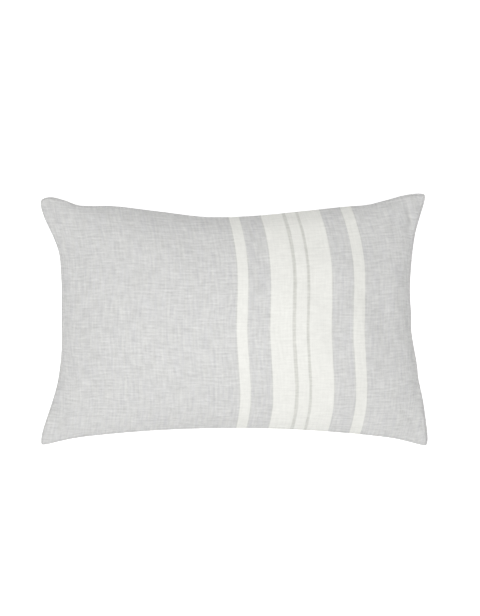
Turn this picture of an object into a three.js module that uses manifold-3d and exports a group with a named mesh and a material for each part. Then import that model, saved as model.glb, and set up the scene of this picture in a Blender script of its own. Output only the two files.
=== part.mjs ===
/**
 * Oblong throw pillow: a two-panel woven cover with a concealed zip in its lower seam, around a
 * stuffed inner pad.
 *
 * Millimetres. The pillow lies on its back: +Z points out of the striped front face, +X runs along
 * its width and +Y up the front face. The origin is the middle of the flat patch it rests on.
 *
 * Both panels are described from the seam plane: "rise" is the distance from that plane, towards
 * the front for the front panel and towards the back for the back panel. "inset" is the distance
 * inside the cover's outline.
 */
import * as THREE from 'three';
import { mergeVertices } from 'three/addons/utils/BufferGeometryUtils.js';
import Module from 'manifold-3d';

const wasm = await Module();
wasm.setup();

// ---- Driving dimensions ------------------------------------------------------------------

const GAP = 0.3; // between pieces that touch or nearly touch

// Cover, measured at its seam
const WIDTH = 604; // corner to corner along X, before the tips are rounded
const HEIGHT = 398; // corner to corner along Y, before the tips are rounded
const LONG_EDGE_PULL_IN = 32; // middle of a long edge, inside the line between its corners
const SHORT_EDGE_PULL_IN = 28; // the same for a short edge
const LONG_EDGE_RADIUS = 2000; // the shallow arc of a long edge, which the zip follows
const TIP_DRAW_IN = 3.5; // how far rounding draws in a corner's tip, along X and along Y
const FRONT_CROWN = 78; // seam to the top of the front face
const BACK_CROWN = 66; // seam to the patch the pillow rests on
const FLATTENING = 8; // what lying down takes off the back's crown
const CLOTH = 1.2; // thickness of a cover panel
const SEAM_ALLOWANCE = 18; // cloth folded in behind the seam
const THREAD = 0.7; // sewing thread, laid as one square strand
const THREAD_INSET = 6; // stitching line, inside the outline
const FOLD = 1.3; // width of a panel's folded edge, in thicknesses of its cloth

// Zip in the lower seam
const ZIP_LENGTH = 430; // coils, between their stops
const TAPE_END = 10; // tape past each end of the coils
const TAPE_WIDTH = 11.5;
const TAPE = 0.5; // thickness of a tape
const COIL_WIDTH = 3;
const COIL_HEIGHT = 0.95; // one of the two coils
const COIL_OVERHANG = 1; // coil in front of its tape's edge
const STOP_LENGTH = 3; // along the zip
const BAR_TACK = 3; // thread bar that ends the zip's opening, along the zip
const BAR_TACK_DEPTH = 9; // the same, across the tapes
const MOUTH_SPARE = 0.05; // between the slider's wing and the cover, on top of the gap
const MOUTH_RUN = 30; // mouth at its full width past each end of the tapes
const MOUTH_CLOSE = 22; // length over which it then closes

// Zip slider and its pull tab
const SLIDER_LENGTH = 10;
const SLIDER_CORNER = 1.6; // radius of its four corners
const SLIDER_PLATE = 1; // plate in front of the coils
const SLIDER_WING = 0.8; // wing over each tape
const WING_OVERLAP = 0.5; // wing past the inner edge of the coils
const BRIDGE_EYE = 2; // room under the bridge, square
const BRIDGE_BAR = 0.8; // thickness of the bridge
const BRIDGE_WIDTH = 1.6; // across the zip
const BRIDGE_RECESS = 1.2; // bridge, inside the outline
const BRIDGE_CORNER = 0.55; // radius of its outer corners
const TAB_LENGTH = 24;
const TAB_WIDTH = 5;
const TAB = 0.9; // thickness of the pull tab, and of the bar it swings on
const TAB_WINDOW = 4; // length of the window that the bridge passes through
const TAB_RIM = 0.8; // beside the window
const TAB_NECK = 1.5; // from the window to where the tab widens
const TAB_SHOULDER = 3; // length over which it widens
const WINDOW_CLEARANCE = 0.5; // beside the bridge
const SLIDER_END_PLAY = 0.5; // between the slider and a stop, at each end of its travel

// Inner pad
const INSERT_ROOM = 3; // between what is sewn to the cover's seam and the pad's own seam
const INSERT_GAP = 3; // between the cover and the pad, at the crowns
const INSERT_TIP_DRAW_IN = 14; // the pad doesn't fill the cover's corners
const TICKING = 0.8; // thickness of the pad's case
const INSERT_ALLOWANCE = 8; // case folded in behind the pad's seam
const INSERT_THREAD_INSET = 3; // stitching line, inside the pad's outline
const FILLING_GAP = 1; // between the case and the filling

// Care label, blank, sewn into the left seam
const LABEL_WIDTH = 30; // along the seam
const LABEL_LENGTH = 36; // past the cover's seam allowance, across the pad
const LABEL = 0.4; // thickness
const LABEL_Y = -30; // its middle
const LABEL_BEND = 0.6; // radius, about, of the bend where it leaves them

// Shape of the crowns, and how finely they are divided
const SHORT_EDGE_FLARE_POWER = 3.5;
const TIP_POWER = 30; // how local the rounding of a tip is
const INSERT_TIP_POWER = 8;
const CROWN_POWER_X = 2.4;
const CROWN_POWER_Y = 2;
const COVER_STEEPNESS = 0.62; // exponent of a cover panel's rise from its edge
const INSERT_STEEPNESS = 0.5; // the pad is plumper at its edge
const EDGE_CROWDING = 0.6; // how far grid lines crowd towards the edges, from 0 to 1
const COVER_GRID = [28, 18];
const INSERT_GRID = [20, 12];
const ZIP_STEPS = 36;
const CURVE_STEPS = 5; // segments in each small rounded corner
const LABEL_STEPS = 8;
const MOUTH_FADE = 0.3; // how far up the panel the mouth shows, where its half height is 1
const CUT_PAST = 1; // a cutting block, past what it cuts

// ---- Sizes worked out from them ----------------------------------------------------------

const SEAM_RIM = THREAD / 2 + GAP; // rise of each panel's underside at the seam
const SEAM_Z = BACK_CROWN + SEAM_RIM;

const COIL_INSET = BRIDGE_RECESS + BRIDGE_BAR + BRIDGE_EYE + SLIDER_PLATE + GAP;
const COIL_TOP = GAP / 2 + COIL_HEIGHT;
const TAPE_INSET = COIL_INSET + COIL_OVERHANG;
const TAPE_INNER = TAPE_INSET + TAPE_WIDTH;
const TAPE_BOTTOM = COIL_TOP + GAP;
const TAPE_TOP = TAPE_BOTTOM + TAPE;
const WING_BOTTOM = TAPE_TOP + GAP;
const WING_TOP = WING_BOTTOM + SLIDER_WING;
const WING_INNER = COIL_INSET + COIL_WIDTH + WING_OVERLAP;
const HALF_TAPE = ZIP_LENGTH / 2 + STOP_LENGTH + BAR_TACK + TAPE_END;

// The mouth of the zip: each panel's underside slopes from its edge down to the tape
const MOUTH_INNER_RIM = TAPE_TOP + GAP;
const MOUTH_RIM = MOUTH_INNER_RIM
  + (WING_TOP + GAP + MOUTH_SPARE - MOUTH_INNER_RIM) / (1 - WING_INNER / SEAM_ALLOWANCE);

const INSERT_INSET = Math.max(SEAM_ALLOWANCE, TAPE_INNER) + INSERT_ROOM;
const FILLING_INSET = INSERT_INSET + INSERT_ALLOWANCE + FILLING_GAP;

const ZIP_CENTRE_Y = -(HEIGHT / 2 - LONG_EDGE_PULL_IN + LONG_EDGE_RADIUS);

const COVER_TIP = { drawIn: TIP_DRAW_IN, power: TIP_POWER };
const INSERT_TIP = { drawIn: INSERT_TIP_DRAW_IN, power: INSERT_TIP_POWER };

// ---- Outline and crown -------------------------------------------------------------------

/** Drop of a long edge's arc at a distance x from its middle. */
function arcDrop(x) {
  return LONG_EDGE_RADIUS - Math.sqrt(LONG_EDGE_RADIUS ** 2 - x ** 2);
}

/** Half height of the outline at x: an arc as far as the zip goes, then a flare to the corner. */
function longEdge(x) {
  const flareStart = HALF_TAPE;
  const flare = LONG_EDGE_PULL_IN - arcDrop(WIDTH / 2);
  const share = Math.max(0, (Math.abs(x) - flareStart) / (WIDTH / 2 - flareStart));
  return HEIGHT / 2 - LONG_EDGE_PULL_IN + arcDrop(x) + flare * share ** 2;
}

/** Half width of the outline, where v runs from -1 at the lower edge to 1 at the upper. */
function shortEdge(v) {
  const middle = WIDTH / 2 - SHORT_EDGE_PULL_IN;
  return middle + SHORT_EDGE_PULL_IN * Math.abs(v) ** SHORT_EDGE_FLARE_POWER;
}

/** Place in the plan of the point (u, v) of a square from -1 to 1, on an outline set inwards. */
function plan(u, v, inset, tip) {
  const x = u * (shortEdge(v) - inset);
  const y = v * (longEdge(x) - inset);
  const drawn = tip.drawIn * Math.abs(u * v) ** tip.power;
  return [x - Math.sign(u) * drawn, y - Math.sign(v) * drawn];
}

/** Share of the full crown at (u, v): 0 along the edges and 1 in the middle. */
function crownShare(u, v, steepness) {
  const across = 1 - Math.abs(u) ** CROWN_POWER_X;
  const along = 1 - Math.abs(v) ** CROWN_POWER_Y;
  return Math.max(0, across * along) ** steepness;
}

/** Grid lines from -1 to 1, closer together towards the edges. */
function gridLines(count) {
  return Array.from({ length: count + 1 }, (_, k) => {
    const t = (2 * k) / count - 1;
    return (1 - EDGE_CROWDING) * t + EDGE_CROWDING * Math.sin((t * Math.PI) / 2);
  });
}

// ---- Closed skins from grids, loops and bands --------------------------------------------

/** A triangle mesh that is closed piece by piece. */
class Skin {
  constructor() {
    this.points = [];
    this.faces = [];
  }

  point(x, y, z) {
    this.points.push(x, y, z);
    return this.points.length / 3 - 1;
  }

  quad(a, b, c, d) {
    this.faces.push(a, b, c, a, c, d);
  }

  /** A sheet over the (u, v) square, and the loop of its edge, anticlockwise from above. */
  sheet([columns, rows], place, faceUp) {
    const us = gridLines(columns);
    const vs = gridLines(rows);
    const index = us.map((u) => vs.map((v) => this.point(...place(u, v))));
    for (let i = 0; i < columns; i += 1) {
      for (let j = 0; j < rows; j += 1) {
        const corners = [index[i][j], index[i + 1][j], index[i + 1][j + 1], index[i][j + 1]];
        this.quad(...(faceUp ? corners : corners.reverse()));
      }
    }
    return edgeOfGrid(columns, rows).map(([i, j]) => index[i][j]);
  }

  /** A loop of points above the edge of the (u, v) square, in the order that sheet uses. */
  loop([columns, rows], place) {
    const us = gridLines(columns);
    const vs = gridLines(rows);
    return edgeOfGrid(columns, rows).map(([i, j]) => this.point(...place(us[i], vs[j])));
  }

  /** A closed band between two loops, facing out where the first is the lower one. */
  band(lower, upper) {
    lower.forEach((_, k) => {
      const next = (k + 1) % lower.length;
      this.quad(lower[k], lower[next], upper[next], upper[k]);
    });
  }

  /** The geometry; a mirrored skin has its faces turned round to point out again. */
  geometry(mirrored = false) {
    const geometry = new THREE.BufferGeometry();
    const faces = mirrored ? [...this.faces].reverse() : this.faces;
    geometry.setAttribute('position', new THREE.Float32BufferAttribute(this.points, 3));
    geometry.setIndex(faces);
    geometry.computeVertexNormals();
    return geometry;
  }
}

/** Indices round the edge of a grid, anticlockwise from its lower left corner. */
function edgeOfGrid(columns, rows) {
  const edge = [];
  for (let i = 0; i < columns; i += 1) edge.push([i, 0]);
  for (let j = 0; j < rows; j += 1) edge.push([columns, j]);
  for (let i = columns; i > 0; i -= 1) edge.push([i, rows]);
  for (let j = rows; j > 0; j -= 1) edge.push([0, j]);
  return edge;
}

/**
 * A sewn panel: a crowned sheet of cloth whose edge turns in to a flat seam allowance.
 * rim(x, v, inset) is the rise of the allowance's underside.
 */
function panel({ side, grid, inset, tip, cloth, allowance, crown, flattening, steepness, rim }) {
  const skin = new Skin();
  const at = (extraInset, rise) => (u, v) => {
    const [x, y] = plan(u, v, inset + extraInset, tip);
    return [x, y, SEAM_Z + side * rise(x, u, v)];
  };
  const outside = (x, u, v) => {
    const bulge = cloth + (crown + flattening - cloth) * crownShare(u, v, steepness);
    return rim(x, v, 0) + Math.min(bulge, crown);
  };
  const inside = (x, u, v) => {
    const bulge = cloth + (crown + flattening - 2 * cloth) * crownShare(u, v, steepness);
    return rim(x, v, 0) + Math.min(bulge, crown - cloth);
  };
  const outer = skin.sheet(grid, at(0, outside), true);
  const edge = skin.loop(grid, at(0, (x, u, v) => rim(x, v, 0)));
  const raw = skin.loop(grid, at(allowance, (x, u, v) => rim(x, v, allowance)));
  const rawTop = skin.loop(grid, at(allowance, (x, u, v) => rim(x, v, allowance) + cloth));
  const inner = skin.sheet(grid, at(FOLD * cloth, inside), false);
  const loops = [outer, edge, raw, rawTop, inner];
  loops.slice(1).forEach((loop, k) => skin.band(loop, loops[k]));
  return skin.geometry(side < 0);
}

/** A bar of rectangular section along a list of plan points, between two rises, ends closed. */
function barAlong(path, halfWidth, low, high, closed) {
  const skin = new Skin();
  const count = path.length;
  const sections = path.map(([x, y], k) => {
    const before = path[closed ? (k + count - 1) % count : Math.max(k - 1, 0)];
    const after = path[closed ? (k + 1) % count : Math.min(k + 1, count - 1)];
    const intoPoint = new THREE.Vector2(x - before[0], y - before[1]).normalize();
    const outOfPoint = new THREE.Vector2(after[0] - x, after[1] - y).normalize();
    const along = intoPoint.clone().add(outOfPoint).normalize();
    const heading = k > 0 || closed ? intoPoint : outOfPoint;
    const mitre = halfWidth / along.dot(heading);
    const [dx, dy] = [-along.y * mitre, along.x * mitre];
    return [
      skin.point(x - dx, y - dy, SEAM_Z + low),
      skin.point(x + dx, y + dy, SEAM_Z + low),
      skin.point(x + dx, y + dy, SEAM_Z + high),
      skin.point(x - dx, y - dy, SEAM_Z + high),
    ];
  });
  const spans = closed ? count : count - 1;
  for (let k = 0; k < spans; k += 1) skin.band(sections[k], sections[(k + 1) % count]);
  if (!closed) {
    skin.quad(...[...sections[0]].reverse());
    skin.quad(...sections[count - 1]);
  }
  return skin.geometry();
}

// ---- Cover ------------------------------------------------------------------------------

/** From 1 at the start to 0 at the end, and smooth between. */
function fade(value, start, end) {
  return 1 - THREE.MathUtils.smoothstep(value, start, end);
}

/** Rise of a cover panel's underside: level at the seam, and lifted to a mouth along the zip. */
function coverRim(x, v, inset) {
  const fullUntil = HALF_TAPE + MOUTH_RUN;
  const along = fade(Math.abs(x), fullUntil, fullUntil + MOUTH_CLOSE);
  const across = fade(1 + v, 0, MOUTH_FADE);
  const mouth = THREE.MathUtils.lerp(MOUTH_RIM, MOUTH_INNER_RIM, inset / SEAM_ALLOWANCE);
  return SEAM_RIM + (mouth - SEAM_RIM) * along * across;
}

function coverPanel(side, crown, flattening) {
  return panel({
    side,
    grid: COVER_GRID,
    inset: 0,
    tip: COVER_TIP,
    cloth: CLOTH,
    allowance: SEAM_ALLOWANCE,
    crown,
    flattening,
    steepness: COVER_STEEPNESS,
    rim: coverRim,
  });
}

/** The stitching that joins the panels, all round from one end of the zip to the other. */
function coverSeamThread() {
  const us = gridLines(COVER_GRID[0]);
  const vs = gridLines(COVER_GRID[1]);
  const start = HALF_TAPE + GAP;
  const stitched = edgeOfGrid(...COVER_GRID)
    .map(([i, j]) => [...plan(us[i], vs[j], THREAD_INSET, COVER_TIP), vs[j]])
    .filter(([x, , v]) => v > -1 || Math.abs(x) > start);
  const firstOfRight = stitched.findIndex(([x]) => x > 0);
  const path = [...stitched.slice(firstOfRight), ...stitched.slice(0, firstOfRight)];
  return barAlong(path.map(([x, y]) => [x, y]), THREAD / 2, -THREAD / 2, THREAD / 2, false);
}

// ---- Zip --------------------------------------------------------------------------------

/** Points along the zip's arc at an inset, between two distances measured along the seam. */
function zipPath(from, to, inset, steps) {
  return Array.from({ length: steps + 1 }, (_, k) => {
    const angle = (from + ((to - from) * k) / steps) / LONG_EDGE_RADIUS;
    const radius = LONG_EDGE_RADIUS + inset;
    return [radius * Math.sin(angle), ZIP_CENTRE_Y + radius * Math.cos(angle)];
  });
}

/** A strip of the zip, from one inset to another and between two rises. */
function zipStrip(from, to, inset, width, low, high, steps) {
  const path = zipPath(from, to, inset + width / 2, steps);
  return barAlong(path, width / 2, low, high, false);
}

function zipTape(side) {
  const [low, high] = side > 0 ? [TAPE_BOTTOM, TAPE_TOP] : [-TAPE_TOP, -TAPE_BOTTOM];
  return zipStrip(-HALF_TAPE, HALF_TAPE, TAPE_INSET, TAPE_WIDTH, low, high, ZIP_STEPS);
}

function zipCoil(side) {
  const [low, high] = side > 0 ? [GAP / 2, COIL_TOP] : [-COIL_TOP, -GAP / 2];
  return zipStrip(-ZIP_LENGTH / 2, ZIP_LENGTH / 2, COIL_INSET, COIL_WIDTH, low, high, ZIP_STEPS);
}

/** One of the two stops that the closed slider meets, on the front or the back coil's line. */
function zipTopStop(side) {
  const start = ZIP_LENGTH / 2 + GAP;
  const [low, high] = side > 0 ? [GAP / 2, COIL_TOP] : [-COIL_TOP, -GAP / 2];
  return zipStrip(start, start + STOP_LENGTH, COIL_INSET, COIL_WIDTH, low, high, 1);
}

/** The stop across both coils, where the open slider ends. */
function zipBottomStop() {
  const start = -ZIP_LENGTH / 2 - GAP;
  return zipStrip(start - STOP_LENGTH, start, COIL_INSET, COIL_WIDTH, -COIL_TOP, COIL_TOP, 1);
}

/** A bar of thread between the tapes, past a stop. */
function zipBarTack(end) {
  const start = end * (ZIP_LENGTH / 2 + STOP_LENGTH + 2 * GAP);
  const [from, to] = [start, start + end * BAR_TACK].sort((a, b) => a - b);
  return zipStrip(from, to, TAPE_INSET, BAR_TACK_DEPTH, -COIL_TOP, COIL_TOP, 1);
}

/** A closed solid for the boolean library, from a geometry with shared vertices. */
function toSolid(geometry) {
  const bare = geometry.clone();
  bare.deleteAttribute('normal');
  bare.deleteAttribute('uv');
  const merged = mergeVertices(bare, 1e-4);
  return new wasm.Manifold(new wasm.Mesh({
    numProp: 3,
    vertProperties: new Float32Array(merged.attributes.position.array),
    triVerts: new Uint32Array(merged.index.array),
  }));
}

function fromSolid(solid) {
  const mesh = solid.getMesh();
  const geometry = new THREE.BufferGeometry();
  geometry.setAttribute('position', new THREE.Float32BufferAttribute(mesh.vertProperties, 3));
  geometry.setIndex([...mesh.triVerts]);
  geometry.computeVertexNormals();
  return geometry;
}

/** A rectangle with round corners, centred, for an extrusion. */
function roundedRectangle(width, height, radius) {
  const [w, h] = [width / 2 - radius, height / 2 - radius];
  const quarter = Math.PI / 2;
  const shape = new THREE.Shape();
  shape.moveTo(w, -h - radius);
  shape.absarc(w, -h, radius, -quarter, 0, false);
  shape.absarc(w, h, radius, 0, quarter, false);
  shape.absarc(-w, h, radius, quarter, 2 * quarter, false);
  shape.absarc(-w, -h, radius, 2 * quarter, 3 * quarter, false);
  return shape;
}

function extrude(shape, depth) {
  const options = { depth, bevelEnabled: false, curveSegments: CURVE_STEPS };
  return new THREE.ExtrudeGeometry(shape, options).translate(0, 0, -depth / 2);
}

/**
 * The slider, about the zip's straight line: X along the zip, Y the inset, Z the rise.
 * A channel that is open inwards rides over both coils, and a bridge in front holds the tab.
 */
function zipSlider() {
  const plateInset = COIL_INSET - GAP - SLIDER_PLATE;
  const depth = WING_INNER - plateInset;
  const middle = plateInset + depth / 2;
  const body = extrude(roundedRectangle(SLIDER_LENGTH, depth, SLIDER_CORNER), 2 * WING_TOP)
    .translate(0, middle, 0);
  const hollow = new THREE.BoxGeometry(SLIDER_LENGTH + CUT_PAST, depth, 2 * WING_BOTTOM)
    .translate(0, middle + SLIDER_PLATE, 0);
  const reach = BRIDGE_EYE + BRIDGE_BAR;
  const span = BRIDGE_EYE + 2 * BRIDGE_BAR;
  const rooted = SLIDER_PLATE / 2;
  const arch = extrude(roundedRectangle(span, reach + rooted, BRIDGE_CORNER), BRIDGE_WIDTH)
    .translate(0, plateInset + rooted - (reach + rooted) / 2, 0);
  const eye = new THREE.BoxGeometry(BRIDGE_EYE, BRIDGE_EYE, BRIDGE_WIDTH + CUT_PAST)
    .translate(0, plateInset - BRIDGE_EYE / 2, 0);
  const bridge = toSolid(arch).subtract(toSolid(eye));
  return fromSolid(toSolid(body).subtract(toSolid(hollow)).add(bridge));
}

/** Inset of the pull tab's pivot: the middle of the bridge's eye. */
const PIVOT_INSET = BRIDGE_RECESS + BRIDGE_BAR + BRIDGE_EYE / 2;

/** The pull tab, about its pivot: it points along -X, with its width along Z. */
function zipPullTab() {
  const window = new THREE.Path();
  const halfBar = TAB / 2;
  const halfWindow = BRIDGE_WIDTH / 2 + WINDOW_CLEARANCE;
  window.moveTo(-halfBar, -halfWindow);
  window.lineTo(-halfBar, halfWindow);
  window.lineTo(-halfBar - TAB_WINDOW, halfWindow);
  window.lineTo(-halfBar - TAB_WINDOW, -halfWindow);
  window.closePath();

  const plate = new THREE.Shape();
  const halfRoot = halfWindow + TAB_RIM;
  const halfTab = TAB_WIDTH / 2;
  const neck = -halfBar - TAB_WINDOW - TAB_NECK;
  const shoulder = neck - TAB_SHOULDER;
  plate.moveTo(halfBar, -halfRoot);
  plate.lineTo(halfBar, halfRoot);
  plate.lineTo(neck, halfRoot);
  plate.lineTo(shoulder, halfTab);
  plate.lineTo(-TAB_LENGTH + halfTab, halfTab);
  plate.absarc(-TAB_LENGTH + halfTab, 0, halfTab, Math.PI / 2, (3 * Math.PI) / 2, false);
  plate.lineTo(shoulder, -halfTab);
  plate.lineTo(neck, -halfRoot);
  plate.closePath();
  plate.holes.push(window);
  return extrude(plate, TAB).rotateX(Math.PI / 2);
}

/** A group whose origin is on the zip's arc line, so its children are placed by inset and rise. */
function atSlider(...meshes) {
  const rest = ZIP_LENGTH / 2 - SLIDER_LENGTH / 2 - SLIDER_END_PLAY;
  const turned = new THREE.Group();
  turned.position.set(0, ZIP_CENTRE_Y, SEAM_Z);
  turned.rotation.z = -rest / LONG_EDGE_RADIUS;
  const carriage = new THREE.Group();
  carriage.position.y = LONG_EDGE_RADIUS;
  carriage.add(...meshes);
  turned.add(carriage);
  return turned;
}

// ---- Inner pad --------------------------------------------------------------------------

const INSERT_FRONT_CROWN = FRONT_CROWN - CLOTH - INSERT_GAP;
const INSERT_BACK_CROWN = BACK_CROWN - CLOTH - INSERT_GAP;

function insertPanel(side, crown, flattening) {
  return panel({
    side,
    grid: INSERT_GRID,
    inset: INSERT_INSET,
    tip: INSERT_TIP,
    cloth: TICKING,
    allowance: INSERT_ALLOWANCE,
    crown,
    flattening,
    steepness: INSERT_STEEPNESS,
    rim: () => SEAM_RIM,
  });
}

/** The closed ring of stitching round the pad. */
function insertSeamThread() {
  const us = gridLines(INSERT_GRID[0]);
  const vs = gridLines(INSERT_GRID[1]);
  const inset = INSERT_INSET + INSERT_THREAD_INSET;
  const path = edgeOfGrid(...INSERT_GRID)
    .map(([i, j]) => plan(us[i], vs[j], inset, INSERT_TIP));
  return barAlong(path, THREAD / 2, -THREAD / 2, THREAD / 2, true);
}

/** The filling: one crowned body that follows the inside of the case. */
function filling() {
  const skin = new Skin();
  const edge = SEAM_RIM + TICKING;
  const face = (side, crown, flattening) => (u, v) => {
    const [x, y] = plan(u, v, FILLING_INSET, INSERT_TIP);
    const bulge = (crown + flattening) * crownShare(u, v, INSERT_STEEPNESS);
    return [x, y, SEAM_Z + side * (edge + Math.min(bulge, crown))];
  };
  const spare = 2 * TICKING + FILLING_GAP;
  const front = face(1, INSERT_FRONT_CROWN - spare, 0);
  const back = face(-1, INSERT_BACK_CROWN - spare, FLATTENING);
  const upper = skin.sheet(INSERT_GRID, front, true);
  const lower = skin.sheet(INSERT_GRID, back, false);
  skin.band(lower, upper);
  return skin.geometry();
}

// ---- Care label -------------------------------------------------------------------------

const COVER_INNER_BULGE = BACK_CROWN + FLATTENING - CLOTH;
const INSERT_BULGE = INSERT_BACK_CROWN + FLATTENING;

/** Rise of a crowned surface over the point (x, y), before lying down flattens it. */
function riseAt(x, y, inset, crown, steepness) {
  const v = y / (longEdge(x) - inset);
  const u = Math.min(1, Math.abs(x) / (shortEdge(v) - inset));
  return SEAM_RIM + crown * crownShare(u, v, steepness);
}

/**
 * The label's path from the left seam, as x and rise: out from between the seam allowances, then
 * half way between the cover and the pad over the label's whole width.
 */
function labelPath() {
  const ends = [LABEL_Y - LABEL_WIDTH / 2, LABEL_Y + LABEL_WIDTH / 2];
  const sideLine = longEdge(WIDTH / 2 - SHORT_EDGE_PULL_IN);
  const edges = ends.map((y) => shortEdge(y / sideLine));
  const root = Math.min(...edges) - THREAD_INSET - THREAD / 2 - 2 * GAP;
  const bend = (Math.min(...edges) - SEAM_ALLOWANCE + Math.max(...edges) - INSERT_INSET) / 2;
  const path = [new THREE.Vector2(-root, 0), new THREE.Vector2(-bend - LABEL_BEND, 0)];
  path.push(new THREE.Vector2(-bend, LABEL_BEND));
  for (let k = 1; k <= LABEL_STEPS; k += 1) {
    const x = LABEL_LENGTH * (k / LABEL_STEPS) ** 2 - bend;
    const covers = ends.map((y) => riseAt(x, y, 0, COVER_INNER_BULGE, COVER_STEEPNESS));
    const pads = ends.map((y) => riseAt(x, y, INSERT_INSET, INSERT_BULGE, INSERT_STEEPNESS));
    path.push(new THREE.Vector2(x, (Math.min(...covers) + Math.max(...pads)) / 2));
  }
  return path;
}

/** The label: its path thickened to a ribbon, and carried along the seam by its width. */
function careLabel() {
  const path = labelPath();
  const offset = (distance) => path.map((point, k) => {
    const before = path[Math.max(k - 1, 0)];
    const after = path[Math.min(k + 1, path.length - 1)];
    const along = after.clone().sub(before).normalize();
    return new THREE.Vector2(point.x - along.y * distance, point.y + along.x * distance);
  });
  const ribbon = new THREE.Shape([...offset(-LABEL / 2), ...offset(LABEL / 2).reverse()]);
  return extrude(ribbon, LABEL_WIDTH).rotateX(-Math.PI / 2).translate(0, LABEL_Y, SEAM_Z);
}

// ---- Assembly ---------------------------------------------------------------------------

const FINISH = {
  linen: { color: 0xd6d6d4, roughness: 0.9, metalness: 0 },
  ticking: { color: 0xf1efe8, roughness: 0.9, metalness: 0 },
  fibre: { color: 0xfafafa, roughness: 1, metalness: 0 },
  thread: { color: 0xdddddb, roughness: 0.8, metalness: 0 },
  tape: { color: 0xcfcfcd, roughness: 0.85, metalness: 0 },
  coil: { color: 0xc9c9c7, roughness: 0.45, metalness: 0 },
  slider: { color: 0xb9babb, roughness: 0.35, metalness: 1 },
  label: { color: 0xf7f7f4, roughness: 0.6, metalness: 0 },
};

function mesh(name, geometry, finish) {
  const piece = new THREE.Mesh(geometry, new THREE.MeshStandardMaterial(FINISH[finish]));
  piece.name = name;
  return piece;
}

const pullTab = mesh('zip_pull_tab', zipPullTab(), 'slider');
pullTab.position.y = PIVOT_INSET;

const pillow = new THREE.Group();
pillow.add(
  mesh('cover_front', coverPanel(1, FRONT_CROWN, 0), 'linen'),
  mesh('cover_back', coverPanel(-1, BACK_CROWN, FLATTENING), 'linen'),
  mesh('cover_seam_thread', coverSeamThread(), 'thread'),
  mesh('zip_tape_front', zipTape(1), 'tape'),
  mesh('zip_tape_back', zipTape(-1), 'tape'),
  mesh('zip_coil_front', zipCoil(1), 'coil'),
  mesh('zip_coil_back', zipCoil(-1), 'coil'),
  mesh('zip_top_stop_front', zipTopStop(1), 'slider'),
  mesh('zip_top_stop_back', zipTopStop(-1), 'slider'),
  mesh('zip_bottom_stop', zipBottomStop(), 'slider'),
  mesh('zip_bar_tack_right', zipBarTack(1), 'thread'),
  mesh('zip_bar_tack_left', zipBarTack(-1), 'thread'),
  atSlider(mesh('zip_slider', zipSlider(), 'slider'), pullTab),
  mesh('care_label', careLabel(), 'label'),
  mesh('insert_case_front', insertPanel(1, INSERT_FRONT_CROWN, 0), 'ticking'),
  mesh('insert_case_back', insertPanel(-1, INSERT_BACK_CROWN, FLATTENING), 'ticking'),
  mesh('insert_seam_thread', insertSeamThread(), 'thread'),
  mesh('insert_filling', filling(), 'fibre'),
);

export default pillow;
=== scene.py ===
"""Oblong throw pillow: a striped linen cover with a concealed zip, round a stuffed inner pad.

Metres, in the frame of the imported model: the pillow lies on its back, +Z points out of the
striped front, +X runs along the width and +Y up the front, away from the zip. A place on a panel
is (u, v), each from -1 to 1 between the panel's seams. "Rise" is the distance from the seam's
plane, towards the front on the front panel and towards the back on the back panel, and "inset" is
the distance inside the seam line.
"""

import logging
import math
from dataclasses import dataclass, field
from enum import Enum
from typing import Callable, Optional, Sequence, Union

import bmesh
import bpy
import numpy as np
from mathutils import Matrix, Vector


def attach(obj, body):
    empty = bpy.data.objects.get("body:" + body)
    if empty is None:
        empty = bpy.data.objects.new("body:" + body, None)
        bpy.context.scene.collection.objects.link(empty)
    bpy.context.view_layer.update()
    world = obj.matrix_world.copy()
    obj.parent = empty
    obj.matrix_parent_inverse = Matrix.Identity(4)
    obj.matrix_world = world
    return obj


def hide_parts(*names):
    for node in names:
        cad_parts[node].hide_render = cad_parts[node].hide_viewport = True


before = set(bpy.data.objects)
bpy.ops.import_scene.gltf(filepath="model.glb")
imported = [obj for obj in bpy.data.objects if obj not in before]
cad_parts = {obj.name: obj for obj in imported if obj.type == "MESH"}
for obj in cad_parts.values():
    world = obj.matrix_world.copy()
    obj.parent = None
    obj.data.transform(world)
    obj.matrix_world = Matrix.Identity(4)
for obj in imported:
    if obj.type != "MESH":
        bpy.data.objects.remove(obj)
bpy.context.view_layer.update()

MM = 0.001
SEED = 20
PILLOW = "pillow"
STITCH = 3.0 * MM
POINTS_IN_A_STITCH = 6
STITCH_DIP = 0.1 * MM
THREAD = 0.62 * MM
THREAD_AT_HOLE = 0.72  # share of the thread's thickness that is left in a needle hole
log = logging.getLogger("throw_pillow")

Array = np.ndarray
Stations = tuple[tuple[float, float], ...]


class Side(Enum):
    """Which of the two panels of a cover or a case a piece belongs to."""

    FRONT = 1
    BACK = -1

    @property
    def word(self) -> str:
        """The side's name as it stands in a piece's name."""
        return self.name.lower()


class Corner(Enum):
    """A corner of the pillow, by the signs of its u and v."""

    UPPER_RIGHT = (1, 1)
    UPPER_LEFT = (-1, 1)
    LOWER_RIGHT = (1, -1)
    LOWER_LEFT = (-1, -1)


# ---- Shapes as whole arrays ---------------------------------------------------------------


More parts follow.
